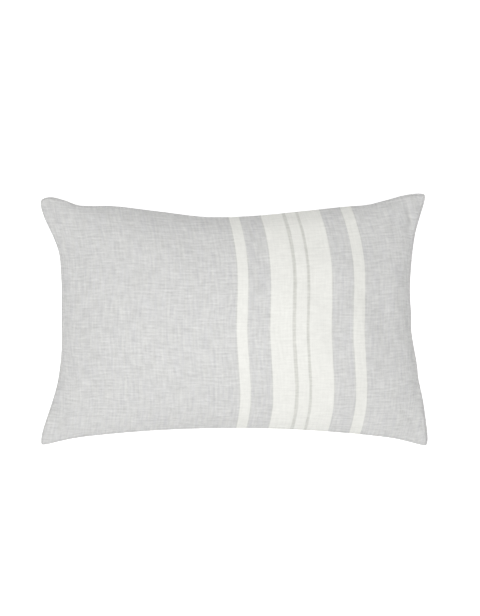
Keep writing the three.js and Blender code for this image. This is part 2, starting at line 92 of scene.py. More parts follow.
def smooth_through(stations: Stations, at: Array) -> Array:
    """A curve with no corners through stations: a cubic between each two of them.

    Args:
        stations: Places along the curve, rising, and the value at each.
        at: Where the curve is wanted.

    Returns:
        The values. Each station's slope is the mean of its two neighbouring chords' slopes,
        weighted towards the nearer one.
    """
    place, value = np.array(stations, float).T
    step = np.diff(place)
    chord = np.diff(value) / step
    slope = np.empty_like(value)
    slope[0], slope[-1] = chord[0], chord[-1]
    slope[1:-1] = (chord[:-1] * step[1:] + chord[1:] * step[:-1]) / (step[1:] + step[:-1])
    k = np.clip(np.searchsorted(place, at) - 1, 0, len(place) - 2)
    t = (at - place[k]) / step[k]
    rising = t * t * (3 - 2 * t)
    leaving = t * (1 - t) ** 2 * step[k] * slope[k]
    arriving = t * t * (t - 1) * step[k] * slope[k + 1]
    return value[k] + rising * (value[k + 1] - value[k]) + leaving + arriving


def smoothstep(value: Array, start: float, end: float) -> Array:
    """From 0 at the start to 1 at the end, and level at both."""
    t = np.clip((value - start) / (end - start), 0, 1)
    return t * t * (3 - 2 * t)


def grid_lines(count: int, crowding: float) -> Array:
    """Lines from -1 to 1: an even spacing mixed with a sine's, which is closer at its ends."""
    t = np.linspace(-1, 1, count + 1)
    return (1 - crowding) * t + crowding * np.sin(t * np.pi / 2)


def round_the_edge(columns: int, rows: int) -> tuple[Array, Array]:
    """Grid indices round the edge of a panel, anticlockwise from its lower left corner."""
    across, up = np.arange(columns), np.arange(rows)
    i = np.concatenate([across, np.full(rows, columns), columns - across, np.zeros(rows, int)])
    j = np.concatenate([np.zeros(columns, int), up, np.full(columns, rows), rows - up])
    return i, j


def grid_faces(index: Array, closed: bool = False) -> Array:
    """Quads of a grid of vertex numbers, facing along (first axis) x (second axis).

    Args:
        index: Vertex numbers, two-dimensional.
        closed: Whether the second axis joins up with its own start.

    Returns:
        One row of four vertex numbers for each quad.
    """
    if closed:
        index = np.concatenate([index, index[:, :1]], axis=1)
    ring = [index[:-1, :-1], index[1:, :-1], index[1:, 1:], index[:-1, 1:]]
    return np.stack(ring, -1).reshape(-1, 4)


def clouds(place: Array, size: float, seed: int, waves: int = 24) -> Array:
    """Soft random lumps: the sum of plane waves of random heading, about one lump to a size.

    Args:
        place: Points, with their coordinates last.
        size: Distance from one lump to the next.
        seed: Which lumps.
        waves: How many waves are added.

    Returns:
        Heights with a mean of about 0 and a spread of about 1.
    """
    random = np.random.default_rng(SEED + seed)
    heading = random.normal(size=(place.shape[-1], waves))
    heading /= np.linalg.norm(heading, axis=0)
    pace = 2 * np.pi / (size * random.uniform(0.7, 1.6, waves))
    phase = random.uniform(0, 2 * np.pi, waves)
    return np.cos(place @ (heading * pace) + phase).sum(-1) * math.sqrt(2 / waves)


def along_columns(points: Array, axis: int, middle: int) -> Array:
    """Distance over the surface along a grid axis, from its middle line, negative before it."""
    steps = np.linalg.norm(np.diff(points, axis=axis), axis=-1)
    pad = [(0, 0), (0, 0)]
    pad[axis] = (1, 0)
    total = np.cumsum(np.pad(steps, pad), axis=axis)
    return total - np.take(total, [middle], axis=axis)


# ---- Meshes -------------------------------------------------------------------------------


@dataclass
class Piece:
    """A mesh piece of the pillow and what it is built from.

    Attributes:
        name: The piece's name.
        points: Its vertices, one row each.
        faces: Vertex numbers of its faces, pointing outwards.
        maps: Its surface coordinates by name, one row for each vertex.
    """

    name: str
    points: Array
    faces: Union[Array, Sequence[Sequence[int]]]
    maps: dict[str, Array] = field(default_factory=dict)

    def build(self) -> bpy.types.Object:
        """The piece as a smooth mesh object at the origin."""
        mesh = bpy.data.meshes.new(self.name)
        mesh.from_pydata(self.points.tolist(), [], [list(face) for face in self.faces])
        mesh.polygons.foreach_set("use_smooth", [True] * len(mesh.polygons))
        corner = np.empty(len(mesh.loops), np.int32)
        mesh.loops.foreach_get("vertex_index", corner)
        for name, values in self.maps.items():
            layer = mesh.uv_layers.new(name=name)
            layer.data.foreach_set("uv", values[corner].astype(np.float32).ravel())
        mesh.update()
        made = bpy.data.objects.new(self.name, mesh)
        bpy.context.scene.collection.objects.link(made)
        return made


def face_outwards(piece: bpy.types.Object) -> None:
    """Turns every face of a closed piece outwards."""
    work = bmesh.new()
    work.from_mesh(piece.data)
    bmesh.ops.recalc_face_normals(work, faces=work.faces)
    work.to_mesh(piece.data)
    work.free()


def ends(index: Array) -> list[list[int]]:
    """Faces that close the first and last sections of a swept grid."""
    return [index[0].tolist(), index[-1][::-1].tolist()]


def swept(name: str, points: Array, maps: dict[str, Array]) -> Piece:
    """A closed bar whose sections are the rows of a grid of points.

    Args:
        name: The piece's name.
        points: Points by section and round the section.
        maps: Surface coordinates, in the same order.

    Returns:
        The bar, closed at both ends.
    """
    index = np.arange(points.shape[0] * points.shape[1]).reshape(points.shape[:2])
    faces = grid_faces(index, closed=True).tolist() + ends(index)
    flat_maps = {key: value.reshape(-1, 2) for key, value in maps.items()}
    return Piece(name, points.reshape(-1, 3), faces, flat_maps)


def tube(name: str, path: Array, outward: Array, radius: Array, sides: int, ring: bool) -> Piece:
    """A round strand along a path: each section is a circle across the path's heading.

    Args:
        name: The piece's name.
        path: Points of the strand's middle.
        outward: A direction at each point, not along the path, where each circle starts.
        radius: The strand's radius at each point.
        sides: Points in each circle.
        ring: Whether the strand's end meets its start.

    Returns:
        The strand, with its length and its turn as a map named "thread".
    """
    heading = np.roll(path, -1, 0) - np.roll(path, 1, 0) if ring else np.gradient(path, axis=0)
    heading /= np.linalg.norm(heading, axis=1, keepdims=True)
    aside = np.cross(heading, outward)
    aside /= np.linalg.norm(aside, axis=1, keepdims=True)
    lift = np.cross(aside, heading)
    turn = np.linspace(0, 2 * np.pi, sides, endpoint=False)
    circle = np.cos(turn)[None, :, None] * lift[:, None] + np.sin(turn)[None, :, None] * aside[:, None]
    points = path[:, None] + np.broadcast_to(radius, len(path))[:, None, None] * circle
    steps = np.linalg.norm(np.diff(path, axis=0), axis=1)
    length = np.concatenate([[0.0], np.cumsum(steps)])
    maps = np.stack(np.broadcast_arrays(length[:, None], turn[None] / (2 * np.pi)), -1)
    if not ring:
        return swept(name, points, {"thread": maps})
    index = np.arange(len(path) * sides).reshape(len(path), sides)
    faces = grid_faces(np.concatenate([index, index[:1]]), closed=True)
    return Piece(name, points.reshape(-1, 3), faces, {"thread": maps.reshape(-1, 2)})


def evenly(path: Array, spacing: float) -> Array:
    """A path's points moved along it to an even spacing."""
    length = np.concatenate([[0.0], np.cumsum(np.linalg.norm(np.diff(path, axis=0), axis=1))])
    at = np.linspace(0, length[-1], max(2, round(length[-1] / spacing)) + 1)
    return np.stack([np.interp(at, length, part) for part in path.T], -1)


def stitched(path: Array, name: str, ring: bool) -> Piece:
    """A row of lock stitches: a strand that dips and thins at each needle hole.

    Args:
        path: The stitching line, at the height of the seam.
        name: The piece's name.
        ring: Whether the row's end meets its start.

    Returns:
        The row. Its height is a cosine of the length with one wave to two stitches, and its
        thickness swells by the sine's size between the holes.
    """
    spacing = STITCH / POINTS_IN_A_STITCH
    line = evenly(path, spacing)
    line = line[:-1] if ring else line
    length = np.arange(len(line)) * spacing
    swell = np.abs(np.sin(np.pi * length / STITCH))
    dip = STITCH_DIP * np.cos(np.pi * length / STITCH)
    line = line + np.stack([0 * length, 0 * length, dip], -1)
    up = np.broadcast_to([0.0, 0.0, 1.0], line.shape)
    radius = THREAD / 2 * (THREAD_AT_HOLE + (1 - THREAD_AT_HOLE) * swell)
    return tube(name, line, up, radius, 6, ring)


def thicken(piece: bpy.types.Object, cloth: float) -> None:
    """Gives a sheet its cloth's thickness, half to each side."""
    wall = piece.modifiers.new("cloth", "SOLIDIFY")
    wall.thickness = cloth
    wall.offset = 0.0


def soften(piece: bpy.types.Object, levels: int = 1) -> None:
    """Rounds a piece by subdivision."""
    finer = piece.modifiers.new("softened", "SUBSURF")
    finer.levels = finer.render_levels = levels


def settle(piece: bpy.types.Object, body: str, finish: "Finish", replaces: Sequence[str]) -> None:
    """Dresses a finished piece, sets what it rides on, hides the nodes that it stands for, and logs it.

    Args:
        piece: The piece.
        body: Name of the body that it moves with.
        finish: Its finish.
        replaces: Nodes of the frame that it stands for.
    """
    piece.data.materials.clear()
    piece.data.materials.append(finish.material())
    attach(piece, body)
    if replaces:
        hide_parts(*replaces)
    log.info("made %s on %s with %d faces", piece.name, body, len(piece.data.polygons))


# ---- Shader expressions -------------------------------------------------------------------

Term = Union["Signal", float]


class Signal:
    """A number that changes over a surface, with arithmetic that adds Math nodes."""

    def __init__(self, recipe: "Recipe", socket: bpy.types.NodeSocket) -> None:
        """Wraps a socket of a recipe."""
        self.recipe = recipe
        self.socket = socket

    def math(self, operation: str, *others: Term) -> "Signal":
        """This signal and others through one Math node."""
        inputs = dict(enumerate([self, *others]))
        return self.recipe.node("ShaderNodeMath", {"operation": operation}, inputs).signal()

    def _turned(self, operation: str, first: Term) -> "Signal":
        """A Math node whose first input is another term and whose second is this signal."""
        inputs = {0: first, 1: self}
        return self.recipe.node("ShaderNodeMath", {"operation": operation}, inputs).signal()

    def __add__(self, other: Term) -> "Signal":
        """Sum."""
        return self.math("ADD", other)

    __radd__ = __add__

    def __sub__(self, other: Term) -> "Signal":
        """Difference."""
        return self.math("SUBTRACT", other)

    def __rsub__(self, other: Term) -> "Signal":
        """Difference, the other way round."""
        return self._turned("SUBTRACT", other)

    def __mul__(self, other: Term) -> "Signal":
        """Product."""
        return self.math("MULTIPLY", other)

    __rmul__ = __mul__

    def __neg__(self) -> "Signal":
        """The same with its sign turned."""
        return self * -1.0

    def __abs__(self) -> "Signal":
        """Size without sign."""
        return self.math("ABSOLUTE")

    def sin(self) -> "Signal":
        """Sine."""
        return self.math("SINE")

    def least(self, other: Term) -> "Signal":
        """The lesser of two."""
        return self.math("MINIMUM", other)

    def most(self, other: Term) -> "Signal":
        """The greater of two."""
        return self.math("MAXIMUM", other)

    def ramp(self, start: float, end: float, low: float = 0.0, high: float = 1.0) -> "Signal":
        """From low to high, smoothly, as the signal goes from start to end."""
        settings = {"interpolation_type": "SMOOTHSTEP"}
        inputs = {0: self, 1: start, 2: end, 3: low, 4: high}
        return self.recipe.node("ShaderNodeMapRange", settings, inputs).signal()


@dataclass
class Step:
    """A node of a recipe, with its outputs."""

    recipe: "Recipe"
    made: bpy.types.Node

    def out(self, name: Union[str, int] = 0) -> bpy.types.NodeSocket:
        """An output socket."""
        return self.made.outputs[name]

    def signal(self, name: Union[str, int] = 0) -> Signal:
        """An output socket as a number."""
        return Signal(self.recipe, self.made.outputs[name])


class Recipe:
    """The node tree of one finish."""

    def __init__(self, name: str) -> None:
        """Starts a material with nothing but its output."""
        self.material = bpy.data.materials.new(name)
        self.material.use_nodes = True
        self.tree = self.material.node_tree
        self.tree.nodes.clear()
        self.output = self.tree.nodes.new("ShaderNodeOutputMaterial")

    def node(self, kind: str, settings: Optional[dict] = None, inputs: Optional[dict] = None) -> Step:
        """Any node.

        Args:
            kind: The node's type.
            settings: Its properties, which are set first.
            inputs: Values or links of its sockets, by name or number.

        Returns:
            The node as a step of the recipe.
        """
        made = self.tree.nodes.new(kind)
        for name, value in (settings or {}).items():
            setattr(made, name, value)
        for name, value in (inputs or {}).items():
            if isinstance(value, Signal):
                value = value.socket
            if isinstance(value, bpy.types.NodeSocket):
                self.tree.links.new(value, made.inputs[name])
            else:
                made.inputs[name].default_value = value
        return Step(self, made)

    def surface_map(self, name: str) -> tuple[Signal, Signal]:
        """The two coordinates of one of the piece's own surface maps."""
        mapped = self.node("ShaderNodeUVMap", {"uv_map": name})
        split = self.node("ShaderNodeSeparateXYZ", None, {0: mapped.out()})
        return split.signal(0), split.signal(1)

    def solid_place(self) -> bpy.types.NodeSocket:
        """Object coordinates."""
        return self.node("ShaderNodeTexCoord").out("Object")

    def vector(self, x: Term, y: Term, z: Term = 0.0) -> bpy.types.NodeSocket:
        """Three numbers as a vector."""
        return self.node("ShaderNodeCombineXYZ", None, {0: x, 1: y, 2: z}).out()

    def noise(self, place: bpy.types.NodeSocket, scale: float, detail: float = 2.0) -> Signal:
        """Cloudy noise, from about -1 to 1."""
        inputs = {"Vector": place, "Scale": scale, "Detail": detail, "Roughness": 0.55}
        return (self.node("ShaderNodeTexNoise", None, inputs).signal("Fac") - 0.5) * 2.6

    def mix(self, share: Term, first: object, second: object, how: str = "MIX") -> bpy.types.NodeSocket:
        """Two colours mixed by a share."""
        settings = {"data_type": "RGBA", "blend_type": how, "clamp_factor": True}
        mixed = self.node("ShaderNodeMix", settings, {0: share, 6: first, 7: second})
        return mixed.out(2)

    def shade(self, colour: bpy.types.NodeSocket, brightness: Signal) -> bpy.types.NodeSocket:
        """A colour made lighter or darker by a number about 1."""
        settings = {"operation": "SCALE"}
        return self.node("ShaderNodeVectorMath", settings, {0: colour, "Scale": brightness}).out()

    def bump(self, height: Signal, depth: float, strength: float = 1.0) -> bpy.types.NodeSocket:
        """A normal from a height, where 1 stands depth metres above 0."""
        inputs = {"Height": height, "Distance": depth, "Strength": strength}
        return self.node("ShaderNodeBump", None, inputs).out()

    def finish(self, **sockets: object) -> bpy.types.Material:
        """Ends the recipe in one surface shader, with its sockets by name."""
        inputs = {name.replace("_", " "): value for name, value in sockets.items()}
        surface = self.node("ShaderNodeBsdfPrincipled", None, inputs)
        self.tree.links.new(surface.out(), self.output.inputs[0])
        return self.material


Colour = tuple[float, float, float, float]


def dye(red: float, green: float, blue: float, level: float = 1.0) -> Colour:
    """A colour as seen on a screen, from 0 to 255, as the cloth's own, darkened by a level."""
    def linear(part: float) -> float:
        """One part of the colour, undone from the screen's curve."""
        c = part / 255
        return c / 12.92 if c <= 0.04045 else ((c + 0.055) / 1.055) ** 2.4
    return (linear(red) * level, linear(green) * level, linear(blue) * level, 1.0)


# ---- Finishes -----------------------------------------------------------------------------


@dataclass(frozen=True)
class Finish:
    """A finish of one of the record's material slots."""

    slot: str

    def material(self) -> bpy.types.Material:
        """The finish's material, made once."""
        name = f"{self.slot}_finish"
        return bpy.data.materials.get(name) or self.brew(Recipe(name))

    def brew(self, recipe: Recipe) -> bpy.types.Material:
        """Writes the recipe."""
        raise NotImplementedError


@dataclass(frozen=True)
class Stripe:
    """A stripe woven along the warp.

    Attributes:
        start: Its left edge, in the cloth's own width, from the panel's middle.
        end: Its right edge.
        strength: How much of its colour covers the ground.
    """

    start: float
    end: float
    strength: float = 1.0


@dataclass(frozen=True)
class Linen(Finish):
    """Plain-woven heathered linen, with or without stripes along its warp."""

    ground: Colour = dye(220, 220, 218, 0.92)
    cool: Colour = dye(208, 208, 209, 0.92)
    white: Colour = dye(240, 240, 235, 0.93)
    border: Colour = dye(215, 215, 209, 0.92)
    stripes: tuple[Stripe, ...] = ()
    lines: tuple[Stripe, ...] = ()
    thread: float = 1.05 * MM
    slub_pitch: float = 4.1 * MM
    half_width: float = 0.300
    half_height: float = 0.200

    def threads(self, recipe: Recipe, across: Signal, up: Signal) -> Signal:
        """Height of the plain weave: the warp's round threads where they lie over, else the weft's.

        Args:
            recipe: The recipe that the nodes belong to.
            across: Distance across the warp.
            up: Distance along it.

        Returns:
            A height from 0 to 1.
        """
        warp = (across * (math.pi / self.thread)).sin()
        weft = (up * (math.pi / self.thread)).sin()
        over = (warp * weft).ramp(-0.25, 0.25)
        return over * abs(warp) + (1 - over) * abs(weft)

    def covering(self, across: Signal, stripes: tuple[Stripe, ...], edge: float) -> Signal:
        """How much stripes cover: each rises over its left edge and falls over its right."""
        total: Term = 0.0
        for stripe in stripes:
            rise = across.ramp(stripe.start - edge, stripe.start + edge, 0.0, stripe.strength)
            fall = across.ramp(stripe.end - edge, stripe.end + edge, 1.0, 0.0)
            total = rise * fall + total
        return total

    def brew(self, recipe: Recipe) -> bpy.types.Material:
        """Threads of uneven thickness and tone, slubs, stripes, and the seam's edge.

        Args:
            recipe: The recipe that the nodes belong to.

        Returns:
            The material.
        """
        across, up = recipe.surface_map("weave")
        panel_x, panel_y = recipe.surface_map("panel")
        drift = recipe.noise(recipe.vector(across, up), 28.0, 1.0)
        wavy_up = up + drift * (0.45 * MM)
        wavy_across = across + recipe.noise(recipe.vector(up, across), 22.0, 1.0) * (0.35 * MM)

        # Tones: single threads, thick and thin places, and the heather of the spinning
        weft = recipe.noise(recipe.vector(across * 34.0, wavy_up * 900.0), 1.0, 1.0)
        warp = recipe.noise(recipe.vector(wavy_across * 880.0, up * 30.0), 1.0, 1.0)
        weft_slub = recipe.noise(recipe.vector(across * 62.0, wavy_up * 300.0), 1.0, 2.0)
        warp_slub = recipe.noise(recipe.vector(wavy_across * 250.0, up * 22.0), 1.0, 2.0)
        cloudy = recipe.noise(recipe.vector(across, up), 17.0, 3.0)
        patch = recipe.noise(recipe.vector(across * 1.0, up * 0.7), 34.0, 2.0).ramp(-0.2, 0.9)
        ribs = (wavy_up * (2 * math.pi / self.slub_pitch)).sin() * patch
        flecks = recipe.noise(recipe.vector(across * 210.0, up * 480.0), 1.0, 2.0)
        hatch = recipe.noise(recipe.vector(across * 190.0, up * 330.0), 1.0, 1.0)
        dashes = recipe.noise(recipe.vector(across * 48.0, wavy_up * 330.0), 1.0, 0.0)
        strokes = recipe.noise(recipe.vector(wavy_across * 300.0, up * 46.0), 1.0, 0.0)
        tone = weft * 0.060 + warp * 0.046 + weft_slub * 0.055 + warp_slub * 0.045
        tone = tone + ribs * 0.034 + cloudy * 0.014 + hatch * 0.070 + dashes * 0.085 + strokes * 0.070
        tone = tone + flecks.ramp(0.75, 1.1, 0.0, 0.06) - (-flecks).ramp(0.8, 1.1, 0.0, 0.09)

        threads = self.threads(recipe, wavy_across, wavy_up)
        colour = recipe.mix(warp_slub.ramp(-0.6, 1.0), self.ground, self.cool)
        if self.stripes:
            frayed = across + weft * (0.35 * MM)
            near = self.covering(frayed, self.stripes, 3.2 * MM)
            white = self.covering(frayed, self.stripes, 0.8 * MM)
            thin = self.covering(frayed, self.lines, 1.0 * MM)
            white = (white - thin).most(0.0)
            colour = recipe.mix(near, colour, self.border)
            colour = recipe.mix(white, colour, self.white)
            tone = tone * (1 - white * 0.6)
        shadow = threads.ramp(0.0, 0.75, 0.90, 1.015)
        colour = recipe.shade(colour, (tone + 1.0) * shadow)

        # The seam allowance inside lifts the cloth in a faint ridge, and the stitches gather it
        from_side = self.half_width - abs(panel_x)
        from_end = self.half_height - abs(panel_y)
        edge = from_side.least(from_end)
        ridge = edge.ramp(1.0 * MM, 3.0 * MM) * (1 - edge.ramp(3.5 * MM, 7.0 * MM))
        side_gather = recipe.noise(recipe.vector(panel_x * 30.0, panel_y * 190.0), 1.0, 1.0)
        end_gather = recipe.noise(recipe.vector(panel_x * 190.0, panel_y * 30.0), 1.0, 1.0)
        gather = side_gather * (1 - from_side.ramp(2.0 * MM, 17.0 * MM))
        gather = gather + end_gather * (1 - from_end.ramp(2.0 * MM, 13.0 * MM)) * 0.6
        height = threads * 0.16 + weft_slub * 0.10 + warp_slub * 0.07 + ribs * 0.05
        normal = recipe.bump(height + ridge * 0.8 + gather * 0.7, 1.1 * MM, 0.75)
        rough = tone.ramp(-0.15, 0.15, 0.93, 0.82)
        return recipe.finish(
            Base_Color=colour,
            Roughness=rough,
            Normal=normal,
            Specular_IOR_Level=0.22,
            Sheen_Weight=0.06,
            Sheen_Roughness=0.55,
        )


@dataclass(frozen=True)
class Ticking(Finish):
    """The pad's case: close plain-woven natural cotton, with a faint unevenness."""

    cotton: Colour = dye(240, 238, 230, 0.95)
    shade: Colour = dye(226, 223, 213, 0.95)
    thread: float = 0.62 * MM

    def brew(self, recipe: Recipe) -> bpy.types.Material:
        """Fine threads with single dark and light ones, and painted shade between the threads."""
        across, up = recipe.surface_map("weave")
        warp = (across * (math.pi / self.thread)).sin()
        weft = (up * (math.pi / self.thread)).sin()
        over = (warp * weft).ramp(-0.25, 0.25)
        threads = over * abs(warp) + (1 - over) * abs(weft)
        single = recipe.noise(recipe.vector(across * 60.0, up * 1500.0), 1.0, 1.0)
        single = single + recipe.noise(recipe.vector(across * 1500.0, up * 60.0), 1.0, 1.0)
        soiled = recipe.noise(recipe.vector(across, up), 14.0, 3.0)
        colour = recipe.mix(soiled.ramp(-0.4, 1.2), self.cotton, self.shade)
        # Painted shade: the weave's height ramp darkens the colour between the threads, on top of the
        # single threads' real tone.
        tone = (single * 0.03 + 1.0) * threads.ramp(0.0, 0.7, 0.92, 1.0)
        normal = recipe.bump(threads * 0.6 + single * 0.2, 0.25 * MM, 0.8)
        return recipe.finish(
            Base_Color=recipe.shade(colour, tone),
            Roughness=single.ramp(-1.0, 1.0, 0.92, 0.84),
            Normal=normal,
            Specular_IOR_Level=0.2,
            Sheen_Weight=0.05,
        )


@dataclass(frozen=True)
class SewingThread(Finish):
    """Spun thread of three plies, which show as slanting turns."""

    spun: Colour = dye(222, 221, 218, 0.93)
    # Painted shade: the colour of the grooves between the plies.
    shaded_hollow: Colour = dye(176, 175, 172, 0.93)
    ply_pitch: float = 0.55 * MM

    def brew(self, recipe: Recipe) -> bpy.types.Material:
        """A sine across the plies' slant, with painted shade in the grooves between the plies, and fine
        loose fibres.
        """
        along, turn = recipe.surface_map("thread")
        slant = (along * (2 * math.pi / self.ply_pitch) + turn * (6 * math.pi)).sin()
        fibres = recipe.noise(recipe.solid_place(), 5200.0, 2.0)
        round_ply = slant.ramp(-1.0, 0.6)
        # Painted shade darkens the grooves between the plies, following the same profile as the bump.
        colour = recipe.mix(round_ply, self.shaded_hollow, self.spun)
        normal = recipe.bump(round_ply + fibres * 0.15, 0.09 * MM, 0.9)
        return recipe.finish(
            Base_Color=recipe.shade(colour, fibres * 0.05 + 1.0),
            Roughness=fibres.ramp(-1.0, 1.0, 0.75, 0.6),
            Normal=normal,
            Sheen_Weight=0.08,
        )


@dataclass(frozen=True)
class ZipTape(Finish):
    """Woven tape in a herringbone of narrow ribs."""

    yarn: Colour = dye(204, 204, 202, 0.93)
    # Painted shade: the colour of the valleys between the ribs.
    shaded_valley: Colour = dye(168, 168, 167, 0.93)
    rib: float = 0.75 * MM
    chevron: float = 2.8 * MM

    def brew(self, recipe: Recipe) -> bpy.types.Material:
        """Ribs that slant one way and then the other across the tape, with painted shade in the valleys
        between them.
        """
        along, across = recipe.surface_map("weave")
        zigzag = abs((across * (math.pi / self.chevron)).sin()) * (1.4 * MM)
        ribs = ((along + zigzag) * (2 * math.pi / self.rib)).sin()
        yarns = (across * (2 * math.pi / (0.5 * MM))).sin()
        worn = recipe.noise(recipe.vector(along, across), 160.0, 3.0)
        height = ribs * 0.35 + yarns * 0.2
        # Painted shade darkens the valleys between the ribs, following the same profile as the bump.
        colour = recipe.mix((ribs + yarns * 0.4).ramp(-1.3, 0.7), self.shaded_valley, self.yarn)
        return recipe.finish(
            Base_Color=recipe.shade(colour, worn * 0.04 + 1.0),
            Roughness=worn.ramp(-1.0, 1.0, 0.9, 0.78),
            Normal=recipe.bump(height, 0.2 * MM, 0.8),
            Sheen_Weight=0.05,
        )


@dataclass(frozen=True)
class CoilNylon(Finish):
    """Drawn nylon wire of the zip's coils: smooth, with faint draw lines."""

    nylon: Colour = dye(206, 206, 203, 0.92)
    rubbed: Colour = dye(224, 224, 221, 0.92)

    def brew(self, recipe: Recipe) -> bpy.types.Material:
        """Draw lines along the wire, and lighter where the slider rubs."""
        along, turn = recipe.surface_map("thread")
        lines = recipe.noise(recipe.vector(along * 90.0, turn * 9.0), 1.0, 2.0)
        rub = recipe.noise(recipe.solid_place(), 420.0, 2.0)
        colour = recipe.mix(rub.ramp(0.0, 1.0), self.nylon, self.rubbed)
        return recipe.finish(
            Base_Color=recipe.shade(colour, lines * 0.03 + 1.0),
            Roughness=lines.ramp(-1.0, 1.0, 0.42, 0.30),
            Normal=recipe.bump(lines, 0.02 * MM, 0.6),
            IOR=1.53,
        )


@dataclass(frozen=True)
class ZipPaint(Finish):
    """Die-cast zip parts under pale satin enamel, thin and brighter at rubbed places."""

    enamel: Colour = dye(200, 200, 198, 0.92)
    dusty: Colour = dye(184, 184, 183, 0.92)
    metal: Colour = (0.52, 0.52, 0.52, 1.0)

    def brew(self, recipe: Recipe) -> bpy.types.Material:
        """Enamel with a fine orange peel, and specks where the casting shows."""
        place = recipe.solid_place()
        peel = recipe.noise(place, 1800.0, 2.0)
        dust = recipe.noise(place, 520.0, 3.0)
        speck = recipe.noise(place, 2600.0, 2.0).ramp(0.95, 1.15)
        colour = recipe.mix(dust.ramp(-0.6, 1.2), self.enamel, self.dusty)
        colour = recipe.mix(speck, colour, self.metal)
        return recipe.finish(
            Base_Color=colour,
            Roughness=(dust * 0.06 + 0.36).most(0.2),
            Metallic=speck * 0.8,
            Normal=recipe.bump(peel, 0.02 * MM, 0.5),
            Coat_Weight=peel.ramp(-1.0, 1.0, 0.25, 0.4),
        )


@dataclass(frozen=True)
class SatinRibbon(Finish):
    """The blank care label: polyester satin, with long floats across it."""

    bright: Colour = dye(246, 246, 243, 0.94)
    dull: Colour = dye(232, 232, 228, 0.94)

    def brew(self, recipe: Recipe) -> bpy.types.Material:
        """Long floats along the ribbon, and a fine rib across it."""
        along, across = recipe.surface_map("weave")
        floats = recipe.noise(recipe.vector(along * 380.0, across * 5200.0), 1.0, 2.0)
        rib = (along * (2 * math.pi / (0.32 * MM))).sin()
        colour = recipe.mix(floats.ramp(-0.9, 0.9), self.dull, self.bright)
        return recipe.finish(
            Base_Color=colour,
            Roughness=floats.ramp(-1.0, 1.0, 0.46, 0.34),
            Normal=recipe.bump(floats * 0.5 + rib * 0.25, 0.06 * MM, 0.7),
        )


@dataclass(frozen=True)
class Fibre(Finish):
    """Crimped polyester staple: soft white tufts with hollows between them."""

    tuft: Colour = dye(250, 250, 249, 0.94)
    # Painted shade: the colour of the hollows between the tufts.
    shaded_hollow: Colour = dye(222, 223, 224, 0.94)

    def brew(self, recipe: Recipe) -> bpy.types.Material:
        """Tufts with painted shade in the hollows between them, and threads of noise stretched two ways
        for the crimped fibres.
        """
        place = recipe.solid_place()
        split = recipe.node("ShaderNodeSeparateXYZ", None, {0: place})
        x, y, z = split.signal(0), split.signal(1), split.signal(2)
        tufts = recipe.noise(place, 95.0, 4.0)
        bend = recipe.noise(place, 160.0, 2.0) * 0.004
        strands = recipe.noise(recipe.vector((x + bend) * 1900.0, y * 150.0, z * 400.0), 1.0, 3.0)
        cross = recipe.noise(recipe.vector(x * 160.0, (y + bend) * 2100.0, z * 400.0), 1.0, 3.0)
        crimp = strands.most(cross)
        # Painted shade darkens the hollows between the tufts, following the same relief as the bump.
        colour = recipe.mix((tufts + crimp * 0.5).ramp(-0.9, 0.8), self.shaded_hollow, self.tuft)
        return recipe.finish(
            Base_Color=colour,
            Roughness=crimp.ramp(-1.0, 1.0, 1.0, 0.85),
            Normal=recipe.bump(tufts * 0.7 + crimp * 0.3, 2.0 * MM, 0.8),
            Sheen_Weight=0.15,
        )


# ---- Form of the pillow -------------------------------------------------------------------


@dataclass(frozen=True)
class Ear:
    """How a corner of the cover is rounded.

    Attributes:
        draw_in: How far rounding draws in the tip, along X and along Y.
        reach_x: How local the rounding is along the long edge: a power of u.
        reach_y: The same along the short edge, a power of v.
    """

    draw_in: float
    reach_x: float
    reach_y: float


